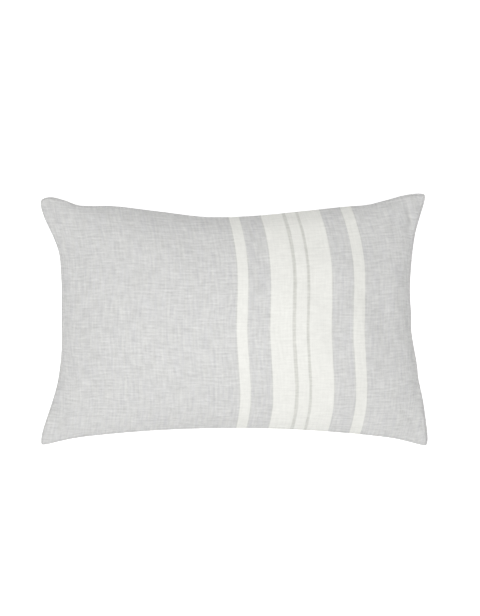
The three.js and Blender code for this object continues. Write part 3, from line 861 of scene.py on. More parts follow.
@dataclass(frozen=True)
class SeamLine:
    """The line where the front and back panels meet, seen from above."""

    half_width: float = 302 * MM
    half_height: float = 199 * MM
    pull_in: float = 32 * MM
    arc_radius: float = 2.0
    flare_start: float = 231 * MM
    plane: float = 66.65 * MM
    top: Stations = (
        (-0.306, 0.1945), (-0.278, 0.1905), (-0.258, 0.184), (-0.241, 0.1775), (-0.222, 0.1765),
        (-0.199, 0.1767), (-0.120, 0.1685), (-0.039, 0.1593), (0.035, 0.1614), (0.097, 0.1674),
        (0.180, 0.176), (0.208, 0.1783), (0.235, 0.185), (0.262, 0.1925), (0.303, 0.1995),
    )
    right: Stations = (
        (-0.199, 0.3045), (-0.165, 0.299), (-0.127, 0.2932), (-0.090, 0.2855), (-0.074, 0.284),
        (-0.040, 0.278), (-0.022, 0.2753), (0.006, 0.275), (0.034, 0.2732), (0.084, 0.275),
        (0.110, 0.2775), (0.136, 0.2815), (0.169, 0.291), (0.198, 0.3015),
    )
    left: Stations = (
        (-0.199, -0.3045), (-0.170, -0.2945), (-0.149, -0.2865), (-0.108, -0.2735),
        (-0.056, -0.2665), (0.009, -0.2658), (0.077, -0.267), (0.112, -0.2705), (0.140, -0.2815),
        (0.158, -0.2905), (0.198, -0.306),
    )
    ears: tuple[tuple[Corner, Ear], ...] = (
        (Corner.UPPER_RIGHT, Ear(5.5 * MM, 30, 20)),
        (Corner.UPPER_LEFT, Ear(9 * MM, 22, 15)),
        (Corner.LOWER_RIGHT, Ear(6 * MM, 26, 18)),
        (Corner.LOWER_LEFT, Ear(7.5 * MM, 24, 16)),
    )

    def arc_drop(self, x: Array) -> Array:
        """Drop of a circle of the arc's radius at a distance x from its top."""
        return self.arc_radius - np.sqrt(self.arc_radius**2 - x**2)

    def bottom(self, x: Array) -> Array:
        """The lower edge: the zip's shallow arc, then a square-law flare to the corner."""
        flare = self.pull_in - self.arc_drop(np.array(self.half_width))
        past = np.clip(np.abs(x) - self.flare_start, 0, None)
        share = past / (self.half_width - self.flare_start)
        return -(self.half_height - self.pull_in + self.arc_drop(x) + flare * share**2)

    def plan(self, u: Array, v: Array, inset: Union[Array, float] = 0.0) -> tuple[Array, Array]:
        """Place from above of (u, v) on an outline set inwards.

        Args:
            u: Across, from -1 at the left seam to 1 at the right.
            v: Up, from -1 at the lower seam to 1 at the upper.
            inset: Distance inside the seam line.

        Returns:
            x, which is u's share of the way between the side edges, and y, which is v's share
            of the way between the lower and upper edges there. Each corner's tip is drawn in by
            a high power of u and v, and both are moved towards the middle by the inset.
        """
        height = v * self.half_height
        right, left = smooth_through(self.right, height), smooth_through(self.left, height)
        x = (right + left) / 2 + u * (right - left) / 2
        upper, lower = smooth_through(self.top, x), self.bottom(x)
        y = (upper + lower) / 2 + v * (upper - lower) / 2
        for corner, ear in self.ears:
            side_x, side_y = corner.value
            near = np.clip(side_x * u, 0, None) ** ear.reach_x
            near = near * np.clip(side_y * v, 0, None) ** ear.reach_y
            x = x - side_x * ear.draw_in * near
            y = y - side_y * ear.draw_in * near
        return x - u * inset, y - v * inset

    def locate(self, x: Array, y: Array) -> tuple[Array, Array]:
        """The (u, v) of a place seen from above, by stepping back what the plan overshoots."""
        u, v = x / self.half_width, y / self.half_height
        for _ in range(12):
            at_x, at_y = self.plan(np.clip(u, -1, 1), np.clip(v, -1, 1))
            u = np.clip(u + (x - at_x) / self.half_width, -1, 1)
            v = np.clip(v + (y - at_y) / self.half_height, -1, 1)
        return u, v

    def zip_arc(self, along: Array, inset: Array) -> tuple[Array, Array]:
        """Place from above of a point of the zip, by its distance along the arc and its inset."""
        angle = along / self.arc_radius
        radius = self.arc_radius + inset
        centre = -(self.half_height - self.pull_in + self.arc_radius)
        return radius * np.sin(angle), centre + radius * np.cos(angle)


@dataclass(frozen=True)
class Crease:
    """A fold pressed into the front, from one place to another.

    Attributes:
        start: Where it starts, from above.
        end: Where it ends.
        depth: How deep it is in its middle.
        width: Its half width.
    """

    start: tuple[float, float]
    end: tuple[float, float]
    depth: float
    width: float

    def drop(self, x: Array, y: Array) -> Array:
        """Depth at each place: a bell across the fold, faded at both its ends."""
        way = np.subtract(self.end, self.start)
        length = np.hypot(*way)
        along = ((x - self.start[0]) * way[0] + (y - self.start[1]) * way[1]) / length**2
        aside = ((x - self.start[0]) * way[1] - (y - self.start[1]) * way[0]) / length
        window = smoothstep(along, 0.0, 0.35) * (1 - smoothstep(along, 0.65, 1.0))
        return self.depth * np.exp(-((aside / self.width) ** 2)) * window


@dataclass
class SewnPanel:
    """A panel of cloth that is sewn all round: a crowned face, a folded edge and an allowance.

    Attributes:
        name: The piece's name.
        side: Whether it faces the front or the back.
        u: Grid of places across.
        v: Grid of places up.
        place: The middle of the cloth over the grid.
        edge: Place from above of (u, v) at an inset.
        rim: Rise of the allowance's seam side, from x, v and the inset.
        plane: Height of the seam.
        cloth: The cloth's thickness.
        allowance: Width of cloth folded in behind the seam.
        maps: Surface coordinates over the grid, by name.
        fold_turns: Where rings stand round the fold, as shares of its half circle.
        allowance_shares: Where rings stand across the allowance, as shares of its width.
    """

    name: str
    side: Side
    u: Array
    v: Array
    place: Array
    edge: Callable[[Array, Array, float], tuple[Array, Array]]
    rim: Callable[[Array, Array, float], Array]
    plane: float
    cloth: float
    allowance: float
    maps: dict[str, Array]
    fold_turns: tuple[float, ...] = (0.30, 0.62, 0.94)
    allowance_shares: tuple[float, ...] = (0.14, 0.33, 0.55, 0.78, 1.0)

    def fold(self, u: Array, v: Array) -> tuple[Array, Array]:
        """Rings of points from the edge of the face to the allowance's raw edge.

        Args:
            u: Places across, round the edge.
            v: Places up, round the edge.

        Returns:
            The rings, and how far each lies from the face's edge over the cloth. The fold is a
            half circle a little wider than the cloth's half thickness, and the allowance then
            follows the rim inwards.
        """
        radius = 0.55 * self.cloth
        flat_x, _ = self.edge(u, v, 0.0)
        rings, reach = [], []
        for turn in self.fold_turns:
            inset = radius * (1 - math.sin(turn * math.pi))
            rise = self.rim(flat_x, v, 0.0) + self.cloth + radius * math.cos(turn * math.pi)
            rings.append(np.stack([*self.edge(u, v, inset), rise], -1))
            reach.append(radius * turn * math.pi)
        for share in self.allowance_shares:
            inset = share * self.allowance
            rise = self.rim(flat_x, v, inset) + self.cloth / 2
            rings.append(np.stack([*self.edge(u, v, inset), rise], -1))
            reach.append(radius * math.pi + inset)
        points = np.stack(rings)
        points[..., 2] = self.plane + self.side.value * points[..., 2]
        return points, np.array(reach)

    def piece(self) -> Piece:
        """The whole panel as one sheet, facing out."""
        columns, rows = self.u.shape[0] - 1, self.u.shape[1] - 1
        i, j = round_the_edge(columns, rows)
        u, v = self.u[i, j], self.v[i, j]
        rings, reach = self.fold(u, v)
        index = np.arange(self.u.size).reshape(self.u.shape)
        loops = [index[i, j]]
        loops += [self.u.size + k * len(i) + np.arange(len(i)) for k in range(len(rings))]
        faces = np.concatenate([grid_faces(index), grid_faces(np.stack(loops), closed=True)])
        outward = reach[:, None, None] * np.stack([u, v], -1)
        maps = {
            name: np.concatenate([grid.reshape(-1, 2), (grid[i, j] + outward).reshape(-1, 2)])
            for name, grid in self.maps.items()
        }
        points = np.concatenate([self.place.reshape(-1, 3), rings.reshape(-1, 3)])
        if self.side is Side.BACK:
            faces = faces[:, ::-1]
        return Piece(self.name, points, faces, maps)


@dataclass
class Cover:
    """The cover: two linen panels sewn edge to edge, with a mouth along the zip."""

    line: SeamLine = field(default_factory=SeamLine)
    columns: int = 108
    rows: int = 72
    crowding: float = 0.45
    cloth: float = 0.95 * MM
    flat_width: float = 0.600
    flat_height: float = 0.400
    front_crown: float = 78 * MM
    back_crown: float = 66 * MM
    flattening: float = 8 * MM
    patch_softness: float = 2.5 * MM
    crown_power_x: float = 2.4
    crown_power_y: float = 2.0
    steepness: float = 0.62
    allowance: float = 18 * MM
    mouth: Stations = ((0.0, 0.0028), (0.003, 0.00335), (0.0095, 0.0034), (0.018, 0.00225))
    mouth_full: float = 242 * MM
    mouth_closed: float = 270 * MM
    thread_inset: float = 6 * MM
    zip_half_length: float = 231.3 * MM
    pucker: float = 0.55 * MM
    pucker_sizes: tuple[float, float] = (16 * MM, 34 * MM)
    pucker_reach: float = 15 * MM
    lump: float = 0.9 * MM
    lump_size: float = 85 * MM
    move_cap: float = 22 * MM
    settle_frames: int = 14
    stripes: tuple[Stripe, ...] = (
        Stripe(0.0058, 0.0216),
        Stripe(0.0558, 0.1483),
        Stripe(0.1818, 0.1988, 0.92),
    )
    thin_lines: tuple[Stripe, ...] = (Stripe(0.0890, 0.0944, 0.8), Stripe(0.1103, 0.1147, 0.8))
    creases: tuple[Crease, ...] = (
        Crease((0.266, 0.194), (0.275, 0.142), 3.8 * MM, 4.0 * MM),
        Crease((0.277, 0.166), (0.266, 0.112), 2.6 * MM, 4.2 * MM),
        Crease((0.252, 0.184), (0.244, 0.118), 1.8 * MM, 5.0 * MM),
        Crease((-0.284, 0.176), (-0.244, 0.120), 1.4 * MM, 5.0 * MM),
        Crease((0.288, -0.176), (0.246, -0.112), 1.5 * MM, 5.0 * MM),
        Crease((-0.284, -0.178), (-0.238, -0.120), 1.4 * MM, 5.0 * MM),
    )

    def __post_init__(self) -> None:
        """Lays out the grid of both panels."""
        self.u, self.v = np.meshgrid(
            grid_lines(self.columns, self.crowding),
            grid_lines(self.rows, self.crowding),
            indexing="ij",
        )
        self.x, self.y = self.line.plan(self.u, self.v)
        self.bulge: dict[Side, Array] = {}
        self.sway: dict[Side, tuple[Array, Array]] = {}

    def crown_share(self) -> Array:
        """Share of the full crown: (1 - |u|^a)(1 - |v|^b), raised to the steepness."""
        across = 1 - np.abs(self.u) ** self.crown_power_x
        up = 1 - np.abs(self.v) ** self.crown_power_y
        return np.clip(across * up, 0, None) ** self.steepness

    def rim(self, x: Array, v: Array, inset: Union[Array, float]) -> Array:
        """Rise of a panel's folded-in allowance, on the side that faces the seam.

        Args:
            x: Distance across.
            v: Place up the panel, from -1 to 1.
            inset: Distance inside the seam line.

        Returns:
            Next to nothing at the seam and half a thread at the stitching, and along the zip a
            mouth that is widest at its edge.
        """
        depth = np.asarray(inset, float)
        sewn = 0.12 * MM + 0.5 * MM * smoothstep(depth, 0.0, 5 * MM)
        mouth = smooth_through(self.mouth, np.clip(depth, 0, self.allowance))
        open_here = 1 - smoothstep(np.abs(x), self.mouth_full, self.mouth_closed)
        open_here = open_here * (1 - smoothstep(1 + v, 0.0, 0.3))
        return sewn + (mouth - sewn) * open_here

    def inflate(self) -> None:
        """Fills the cover: cloth cut flat, sewn on the seam line, under pressure from inside.

        The two panels start crowned and share their seam, which is held. Their threads want the
        lengths of the flat cut, so the cloth settles into the folds that its pulled-in seam
        gives it. No point moves further than the cap.
        """
        shape = self.u.shape
        inner = np.zeros(shape, bool)
        inner[1:-1, 1:-1] = True
        share = self.crown_share()
        front = np.stack([self.x, self.y, self.front_crown * share], -1)
        back = np.stack([self.x, self.y, -self.front_crown * share], -1)
        index = np.arange(inner.size).reshape(shape)
        under = index.copy()
        under[inner] = inner.size + np.arange(inner.sum())
        flat = np.stack([self.u * self.flat_width / 2, self.v * self.flat_height / 2], -1)
        flat = np.concatenate([flat, np.zeros((*shape, 1))], -1)
        points = np.concatenate([front.reshape(-1, 3), back[inner]])
        cut = np.concatenate([flat.reshape(-1, 3), flat[inner]])
        faces = np.concatenate([grid_faces(index), grid_faces(under)[:, ::-1]])
        held = index[~inner]
        moved = self.simulate(points, cut, faces, held)
        step = moved - points
        size = np.linalg.norm(step, axis=1, keepdims=True)
        moved = points + step * np.minimum(1, self.move_cap / np.maximum(size, 1e-9))
        log.info("cloth moved %.1f mm at most", size.max() / MM)
        settled = {Side.FRONT: moved[index], Side.BACK: moved[under]}
        for side, place in settled.items():
            rise = side.value * place[..., 2]
            self.bulge[side] = rise
            self.sway[side] = (place[..., 0] - self.x, place[..., 1] - self.y)

    def simulate(self, points: Array, cut: Array, faces: Array, held: Array) -> Array:
        """Runs the cloth.

        Args:
            points: Where each point of the cloth starts.
            cut: Where it lay in the flat cut, which sets its threads' lengths.
            faces: The cloth's quads, facing outwards.
            held: Numbers of the points that stay on the seam line.

        Returns:
            Where each point ends.
        """
        cloth = Piece("cover_cloth_being_filled", points, faces).build()
        cloth.shape_key_add(name="start")
        lengths = cloth.shape_key_add(name="flat_cut")
        lengths.data.foreach_set("co", cut.astype(np.float32).ravel())
        lengths.value = 0.0
        seam = cloth.vertex_groups.new(name="seam")
        seam.add([int(k) for k in held], 1.0, "REPLACE")
        modifier = cloth.modifiers.new("filling", "CLOTH")
        feel = modifier.settings
        feel.quality = 6
        feel.mass = 0.15
        feel.tension_stiffness = feel.compression_stiffness = 30
        feel.shear_stiffness = 4
        feel.bending_model = "ANGULAR"
        feel.bending_stiffness = 0.35
        feel.tension_damping = feel.compression_damping = 25
        feel.shear_damping = 15
        feel.bending_damping = 2
        feel.air_damping = 3
        feel.use_pressure = True
        feel.uniform_pressure_force = 1.4
        feel.effector_weights.gravity = 0
        feel.rest_shape_key = lengths
        feel.vertex_group_mass = "seam"
        modifier.collision_settings.use_collision = False
        modifier.collision_settings.use_self_collision = False
        modifier.point_cache.frame_start = 1
        modifier.point_cache.frame_end = self.settle_frames + 1
        for step in range(1, self.settle_frames + 1):
            bpy.context.scene.frame_set(step)
        seen = cloth.evaluated_get(bpy.context.evaluated_depsgraph_get())
        moved = np.empty(points.size, np.float32)
        seen.data.vertices.foreach_get("co", moved)
        bpy.data.objects.remove(cloth)
        bpy.context.scene.frame_set(1)
        return moved.reshape(-1, 3).astype(float)

    def shape_up(self) -> None:
        """Brings the filled panels to their sizes: crowns, puckers, creases and the flat patch."""
        sizes = {Side.FRONT: self.front_crown, Side.BACK: self.back_crown + self.flattening}
        across = self.u * self.flat_width / 2
        up = self.v * self.flat_height / 2
        edge = np.minimum(self.flat_width / 2 - np.abs(across), self.flat_height / 2 - np.abs(up))
        side_seam = self.flat_width / 2 - np.abs(across) < self.flat_height / 2 - np.abs(up)
        along = np.where(side_seam, up, across)
        for side, crown in sizes.items():
            rise = self.bulge[side]
            rise = rise * (crown - 1.5 * self.cloth) / rise.max()
            dx, dy = self.sway[side]
            x, y = self.x + dx, self.y + dy
            seams = np.stack([along, np.where(side_seam, 1.0, 0.0) + 3 * side.value], -1)
            waves = clouds(seams * [1.0, 10.0], self.pucker_sizes[0], 1) * 0.6
            waves = waves + clouds(seams * [1.0, 10.0], self.pucker_sizes[1], 2)
            near = np.exp(-((edge / self.pucker_reach) ** 2)) * smoothstep(edge, 0.0, 6 * MM)
            livelier = 1 + 1.6 * smoothstep(self.u, 0.75, 1.0)
            rise = rise + self.pucker * waves * near * livelier
            lumps = clouds(np.stack([x, y], -1), self.lump_size, 4 + side.value)
            rise = rise + self.lump * lumps * smoothstep(edge, 10 * MM, 60 * MM)
            if side is Side.FRONT:
                for crease in self.creases:
                    rise = rise - crease.drop(x, y) * smoothstep(edge, 2 * MM, 9 * MM)
            else:
                over = (self.back_crown - 1.5 * self.cloth - rise) / self.patch_softness
                rise = self.back_crown - 1.5 * self.cloth - self.patch_softness * np.logaddexp(0, over)
            self.bulge[side] = np.maximum(rise, 0.0)
            self.sway[side] = (dx, dy)

    def surface(self, side: Side) -> Array:
        """Middle of a panel's cloth over the grid, as points."""
        dx, dy = self.sway[side]
        x, y = self.x + dx, self.y + dy
        lip = self.rim(x, self.v, 0.0) + 1.5 * self.cloth
        z = self.line.plane + side.value * (lip + self.bulge[side])
        return np.stack([x - self.u * self.cloth * 0.6, y - self.v * self.cloth * 0.6, z], -1)

    def bow(self, y: Array) -> Array:
        """How far a warp thread stands right of its place at mid height: it leans left at the ends."""
        stations = (
            (-0.200, -0.009), (-0.157, 0.0003), (-0.131, 0.004), (-0.108, 0.0046), (-0.060, 0.0019),
            (-0.018, -0.0004), (0.020, 0.0003), (0.060, 0.001), (0.085, 0.0), (0.108, -0.0026),
            (0.134, -0.0071), (0.160, -0.0136), (0.205, -0.025),
        )
        return smooth_through(stations, y)

    def weave_map(self, place: Array) -> Array:
        """Cloth coordinates: which warp thread, by its length from the middle thread, and how far up.

        Args:
            place: The panel's surface.

        Returns:
            The width coordinate, which is the distance over the surface along the middle row,
            read off at x less the bow, and the height coordinate, which is the distance over
            the surface up each column.
        """
        straight = place[..., 0] - self.bow(place[..., 1])
        up = along_columns(place, 1, self.rows // 2)
        return np.stack([self.thread_at(straight, place), up], -1)

    def thread_at(self, x: Array, place: Array) -> Array:
        """Cloth width coordinate of the warp thread that stands at x at mid height.

        Args:
            x: Distance across, as seen from above.
            place: The panel's surface.

        Returns:
            The distance over the surface from the middle column, which goes on evenly past
            both seams.
        """
        middle_row = place[:, self.rows // 2, 0]
        over = along_columns(place, 0, self.columns // 2)[:, self.rows // 2]
        beyond = x - np.clip(x, middle_row[0], middle_row[-1])
        return np.interp(x, middle_row, over) + beyond

    def woven_stripes(self) -> tuple[tuple[Stripe, ...], tuple[Stripe, ...]]:
        """The front's stripes and thin lines, moved from places seen at mid height to the cloth."""
        place = self.surface(Side.FRONT)

        def on_cloth(stripe: Stripe) -> Stripe:
            """One stripe in the cloth's own width."""
            start, end = self.thread_at(np.array([stripe.start, stripe.end]), place)
            return Stripe(float(start), float(end), stripe.strength)

        stripes = tuple(on_cloth(stripe) for stripe in self.stripes)
        return stripes, tuple(on_cloth(line) for line in self.thin_lines)

    def panel(self, side: Side) -> Piece:
        """One panel.

        Args:
            side: Front or back.

        Returns:
            The panel, with its cloth coordinates and its place in the flat cut as maps.
        """
        place = self.surface(side)
        cut = np.stack([self.u * self.flat_width / 2, self.v * self.flat_height / 2], -1)
        return SewnPanel(
            name=f"cover_{side.word}_cloth",
            side=side,
            u=self.u,
            v=self.v,
            place=place,
            edge=self.line.plan,
            rim=self.rim,
            plane=self.line.plane,
            cloth=self.cloth,
            allowance=self.allowance,
            maps={"weave": self.weave_map(place), "panel": cut},
        ).piece()

    def inner_rise(self, side: Side, x: Array, y: Array) -> Array:
        """Rise of the inside of a panel's face.

        Args:
            side: Front or back.
            x: Distance across, as seen from above.
            y: Distance up.

        Returns:
            The rise at each place, between the four grid points round it: their values weighted
            by how near each is, across and up.
        """
        u, v = self.line.locate(x, y)
        lines_u, lines_v = self.u[:, 0], self.v[0]
        column = np.interp(u, lines_u, np.arange(len(lines_u)))
        row = np.interp(v, lines_v, np.arange(len(lines_v)))
        i = np.minimum(column.astype(int), self.columns - 1)
        j = np.minimum(row.astype(int), self.rows - 1)
        p, q = column - i, row - j
        rise = self.bulge[side] + self.rim(self.x, self.v, 0.0) + self.cloth
        lower = rise[i, j] * (1 - p) + rise[i + 1, j] * p
        upper = rise[i, j + 1] * (1 - p) + rise[i + 1, j + 1] * p
        return lower * (1 - q) + upper * q

    def stitching(self) -> Piece:
        """The row of stitches that joins the panels, from one end of the zip round to the other."""
        i, j = round_the_edge(self.columns, self.rows)
        u, v = self.u[i, j], self.v[i, j]
        x, y = self.line.plan(u, v, self.thread_inset)
        sewn = (v > -1) | (np.abs(x) > self.zip_half_length)
        first = int(np.argmax(sewn & (x > 0)))
        order = np.roll(np.arange(len(u)), -first)
        order = order[sewn[order]]
        path = np.stack([x[order], y[order], np.full(len(order), self.line.plane)], -1)
        return stitched(path, "cover_seam_stitches", ring=False)

    def make(self) -> None:
        """Fills the cover, and builds and dresses both panels."""
        self.inflate()
        self.shape_up()
        stripes, lines = self.woven_stripes()
        finishes = {
            Side.FRONT: Linen("cover_striped_linen", stripes=stripes, lines=lines),
            Side.BACK: Linen("cover_plain_linen"),
        }
        for side in Side:
            made = self.panel(side).build()
            thicken(made, self.cloth)
            soften(made)
            settle(made, PILLOW, finishes[side], [f"cover_{side.word}"])
            spare = 2 * self.allowance
            size = (self.flat_width + spare, self.flat_height + spare)
        row = self.stitching().build()
        face_outwards(row)
        settle(row, PILLOW, SewingThread("sewing_thread"), ["cover_seam_thread"])


@dataclass
class Zip:
    """The concealed zip in the lower seam: tapes, coils, stops, bar tacks, slider and tab."""

    line: SeamLine = field(default_factory=SeamLine)
    length: float = 430 * MM
    half_tape: float = 231 * MM
    tape_inset: float = 6.3 * MM
    tape_width: float = 11.5 * MM
    tape: float = 0.5 * MM
    tape_rise: float = 1.65 * MM
    coil_inset: float = 6.8 * MM
    coil_rise: float = 0.625 * MM
    coil_half_width: float = 1.25 * MM
    coil_half_height: float = 0.23 * MM
    coil_pitch: float = 1.9 * MM
    wire: float = 0.48 * MM
    bar_tack_start: float = 218.9 * MM
    bar_tack_length: float = 3 * MM
    bar_tack_depth: float = 9 * MM
    bar_tack_rise: float = 1.1 * MM
    bar_tack_overlap: float = 0.3 * MM
    bar_tack_thread: float = 0.42 * MM
    bar_tack_squareness: float = 0.55
    bar_tack_steps: int = 28
    coil_steps: int = 12
    wire_sides: int = 5
    tape_sections: int = 181
    tape_wave: float = 0.03 * MM
    tape_wave_pitch: float = 23 * MM
    bevel: float = 0.16 * MM

    def at(self, along: Array, inset: Array, rise: Array) -> Array:
        """Points by distance along the zip, inset and rise."""
        x, y = self.line.zip_arc(along, inset)
        return np.stack(np.broadcast_arrays(x, y, self.line.plane + rise), -1)

    def tape_strip(self, side: Side) -> Piece:
        """A tape: a flat strip with round edges, swept along the zip's arc.

        Args:
            side: Front or back.

        Returns:
            The strip. Its section is a rectangle with half circles at both ends, and its rise
            waves along the zip with a sine.
        """
        along = np.linspace(-self.half_tape, self.half_tape, self.tape_sections)[:, None]
        half = self.tape / 2
        turn = np.linspace(-np.pi / 2, np.pi / 2, 5)
        flat = np.linspace(0.06, 0.94, 9) * self.tape_width
        near = self.tape_width - half + half * np.cos(turn)
        far = half - half * np.cos(turn)
        inset = self.tape_inset + np.concatenate([flat, near, flat[::-1], far])
        level, bent = np.full(flat.shape, half), half * np.sin(turn)
        rise = np.concatenate([-level, bent, level, -bent])
        wave = self.tape_wave * np.sin(along * 2 * np.pi / self.tape_wave_pitch)
        points = self.at(along, inset[None], side.value * (self.tape_rise + rise[None] + wave))
        maps = np.stack(np.broadcast_arrays(along, inset[None]), -1)
        return swept(f"zip_tape_{side.word}_woven", points, {"weave": maps})

    def coil(self, side: Side) -> Piece:
        """A coil: one wire wound in flat turns, an ellipse in inset and rise that moves along.

        Args:
            side: Front or back.

        Returns:
            The coil. The back one starts half a turn later, so that the two coils' turns lie
            between each other.
        """
        turns = self.length / self.coil_pitch
        steps = int(turns * self.coil_steps)
        angle = np.linspace(0, 2 * np.pi * turns, steps)
        spare = self.wire / 2
        along = np.linspace(-self.length / 2 + spare, self.length / 2 - spare, steps)
        shift = 0.0 if side is Side.FRONT else np.pi
        across, lift = np.cos(angle + shift), np.sin(angle + shift)
        inset = self.coil_inset + self.coil_half_width * across
        rise = self.coil_rise + self.coil_half_height * lift
        path = self.at(along, inset, side.value * rise)
        outward = self.at(along, inset + across, side.value * (rise + lift)) - path
        name = f"zip_coil_{side.word}_wound"
        return tube(name, path, outward, self.wire / 2, self.wire_sides, ring=False)

    def bar_tack(self, name: str, start: float) -> Piece:
        """A bar of close satin stitches: one thread wound round both tapes' edges.

        Args:
            name: The piece's name.
            start: Where the bar starts along the zip.

        Returns:
            The bar. Its winding is a rounded rectangle in inset and rise, made by raising a
            circle's sine and cosine to a power below 1, that moves along the zip by a thread
            for each turn.
        """
        thread = self.bar_tack_thread
        turns = int(self.bar_tack_length / thread) - 1
        angle = np.linspace(0, 2 * np.pi * turns, turns * self.bar_tack_steps)
        circle = (np.cos(angle), np.sin(angle))
        square = [np.sign(part) * np.abs(part) ** self.bar_tack_squareness for part in circle]
        middle = self.tape_inset + self.bar_tack_depth / 2
        inset = middle + (self.bar_tack_depth / 2 - thread / 2) * square[0]
        rise = (self.bar_tack_rise - thread / 2) * square[1]
        along = start + thread / 2 + np.linspace(0, self.bar_tack_length - thread, len(angle))
        path = self.at(along, inset, rise)
        outward = self.at(along, inset + square[0] * MM, rise + square[1] * 0.4 * MM) - path
        return tube(name, path, outward, thread / 2, 6, ring=False)

    def cast(self, node: str, name: str, body: str) -> None:
        """A cast metal piece: the frame's own solid with its sharp edges rounded over.

        Args:
            node: The frame's node.
            name: The piece's name.
            body: Name of the body that it moves with.
        """
        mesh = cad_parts[node].data.copy()
        mesh.name = name
        work = bmesh.new()
        work.from_mesh(mesh)
        bmesh.ops.remove_doubles(work, verts=work.verts, dist=0.005 * MM)
        bmesh.ops.dissolve_limit(
            work, angle_limit=math.radians(1), verts=work.verts, edges=work.edges
        )
        for face in work.faces:
            face.smooth = True
        work.to_mesh(mesh)
        work.free()
        made = bpy.data.objects.new(name, mesh)
        bpy.context.scene.collection.objects.link(made)
        edge = made.modifiers.new("rounded", "BEVEL")
        edge.width = self.bevel
        edge.segments = 2
        edge.limit_method = "ANGLE"
        edge.angle_limit = math.radians(35)
        edge.harden_normals = True
        settle(made, body, ZipPaint("zip_metal"), [node])

    def make(self) -> None:
        """Builds and dresses every part of the zip."""
        for side in Side:
            tape = self.tape_strip(side).build()
            face_outwards(tape)
            settle(tape, PILLOW, ZipTape("zip_tape"), [f"zip_tape_{side.word}"])
            coil = self.coil(side).build()
            face_outwards(coil)
            settle(coil, PILLOW, CoilNylon("zip_coil"), [f"zip_coil_{side.word}"])
            self.cast(f"zip_top_stop_{side.word}", f"zip_top_stop_{side.word}_cast", PILLOW)
        starts = {"right": self.bar_tack_start - self.bar_tack_overlap}
        starts["left"] = -starts["right"] - self.bar_tack_length
        for end, start in starts.items():
            tack = self.bar_tack(f"zip_bar_tack_{end}_sewn", start).build()
            face_outwards(tack)
            settle(tack, PILLOW, SewingThread("sewing_thread"), [f"zip_bar_tack_{end}"])
        self.cast("zip_bottom_stop", "zip_bottom_stop_cast", PILLOW)
        self.cast("zip_slider", "zip_slider_cast", "slider")
        self.cast("zip_pull_tab", "zip_pull_tab_cast", "tab")


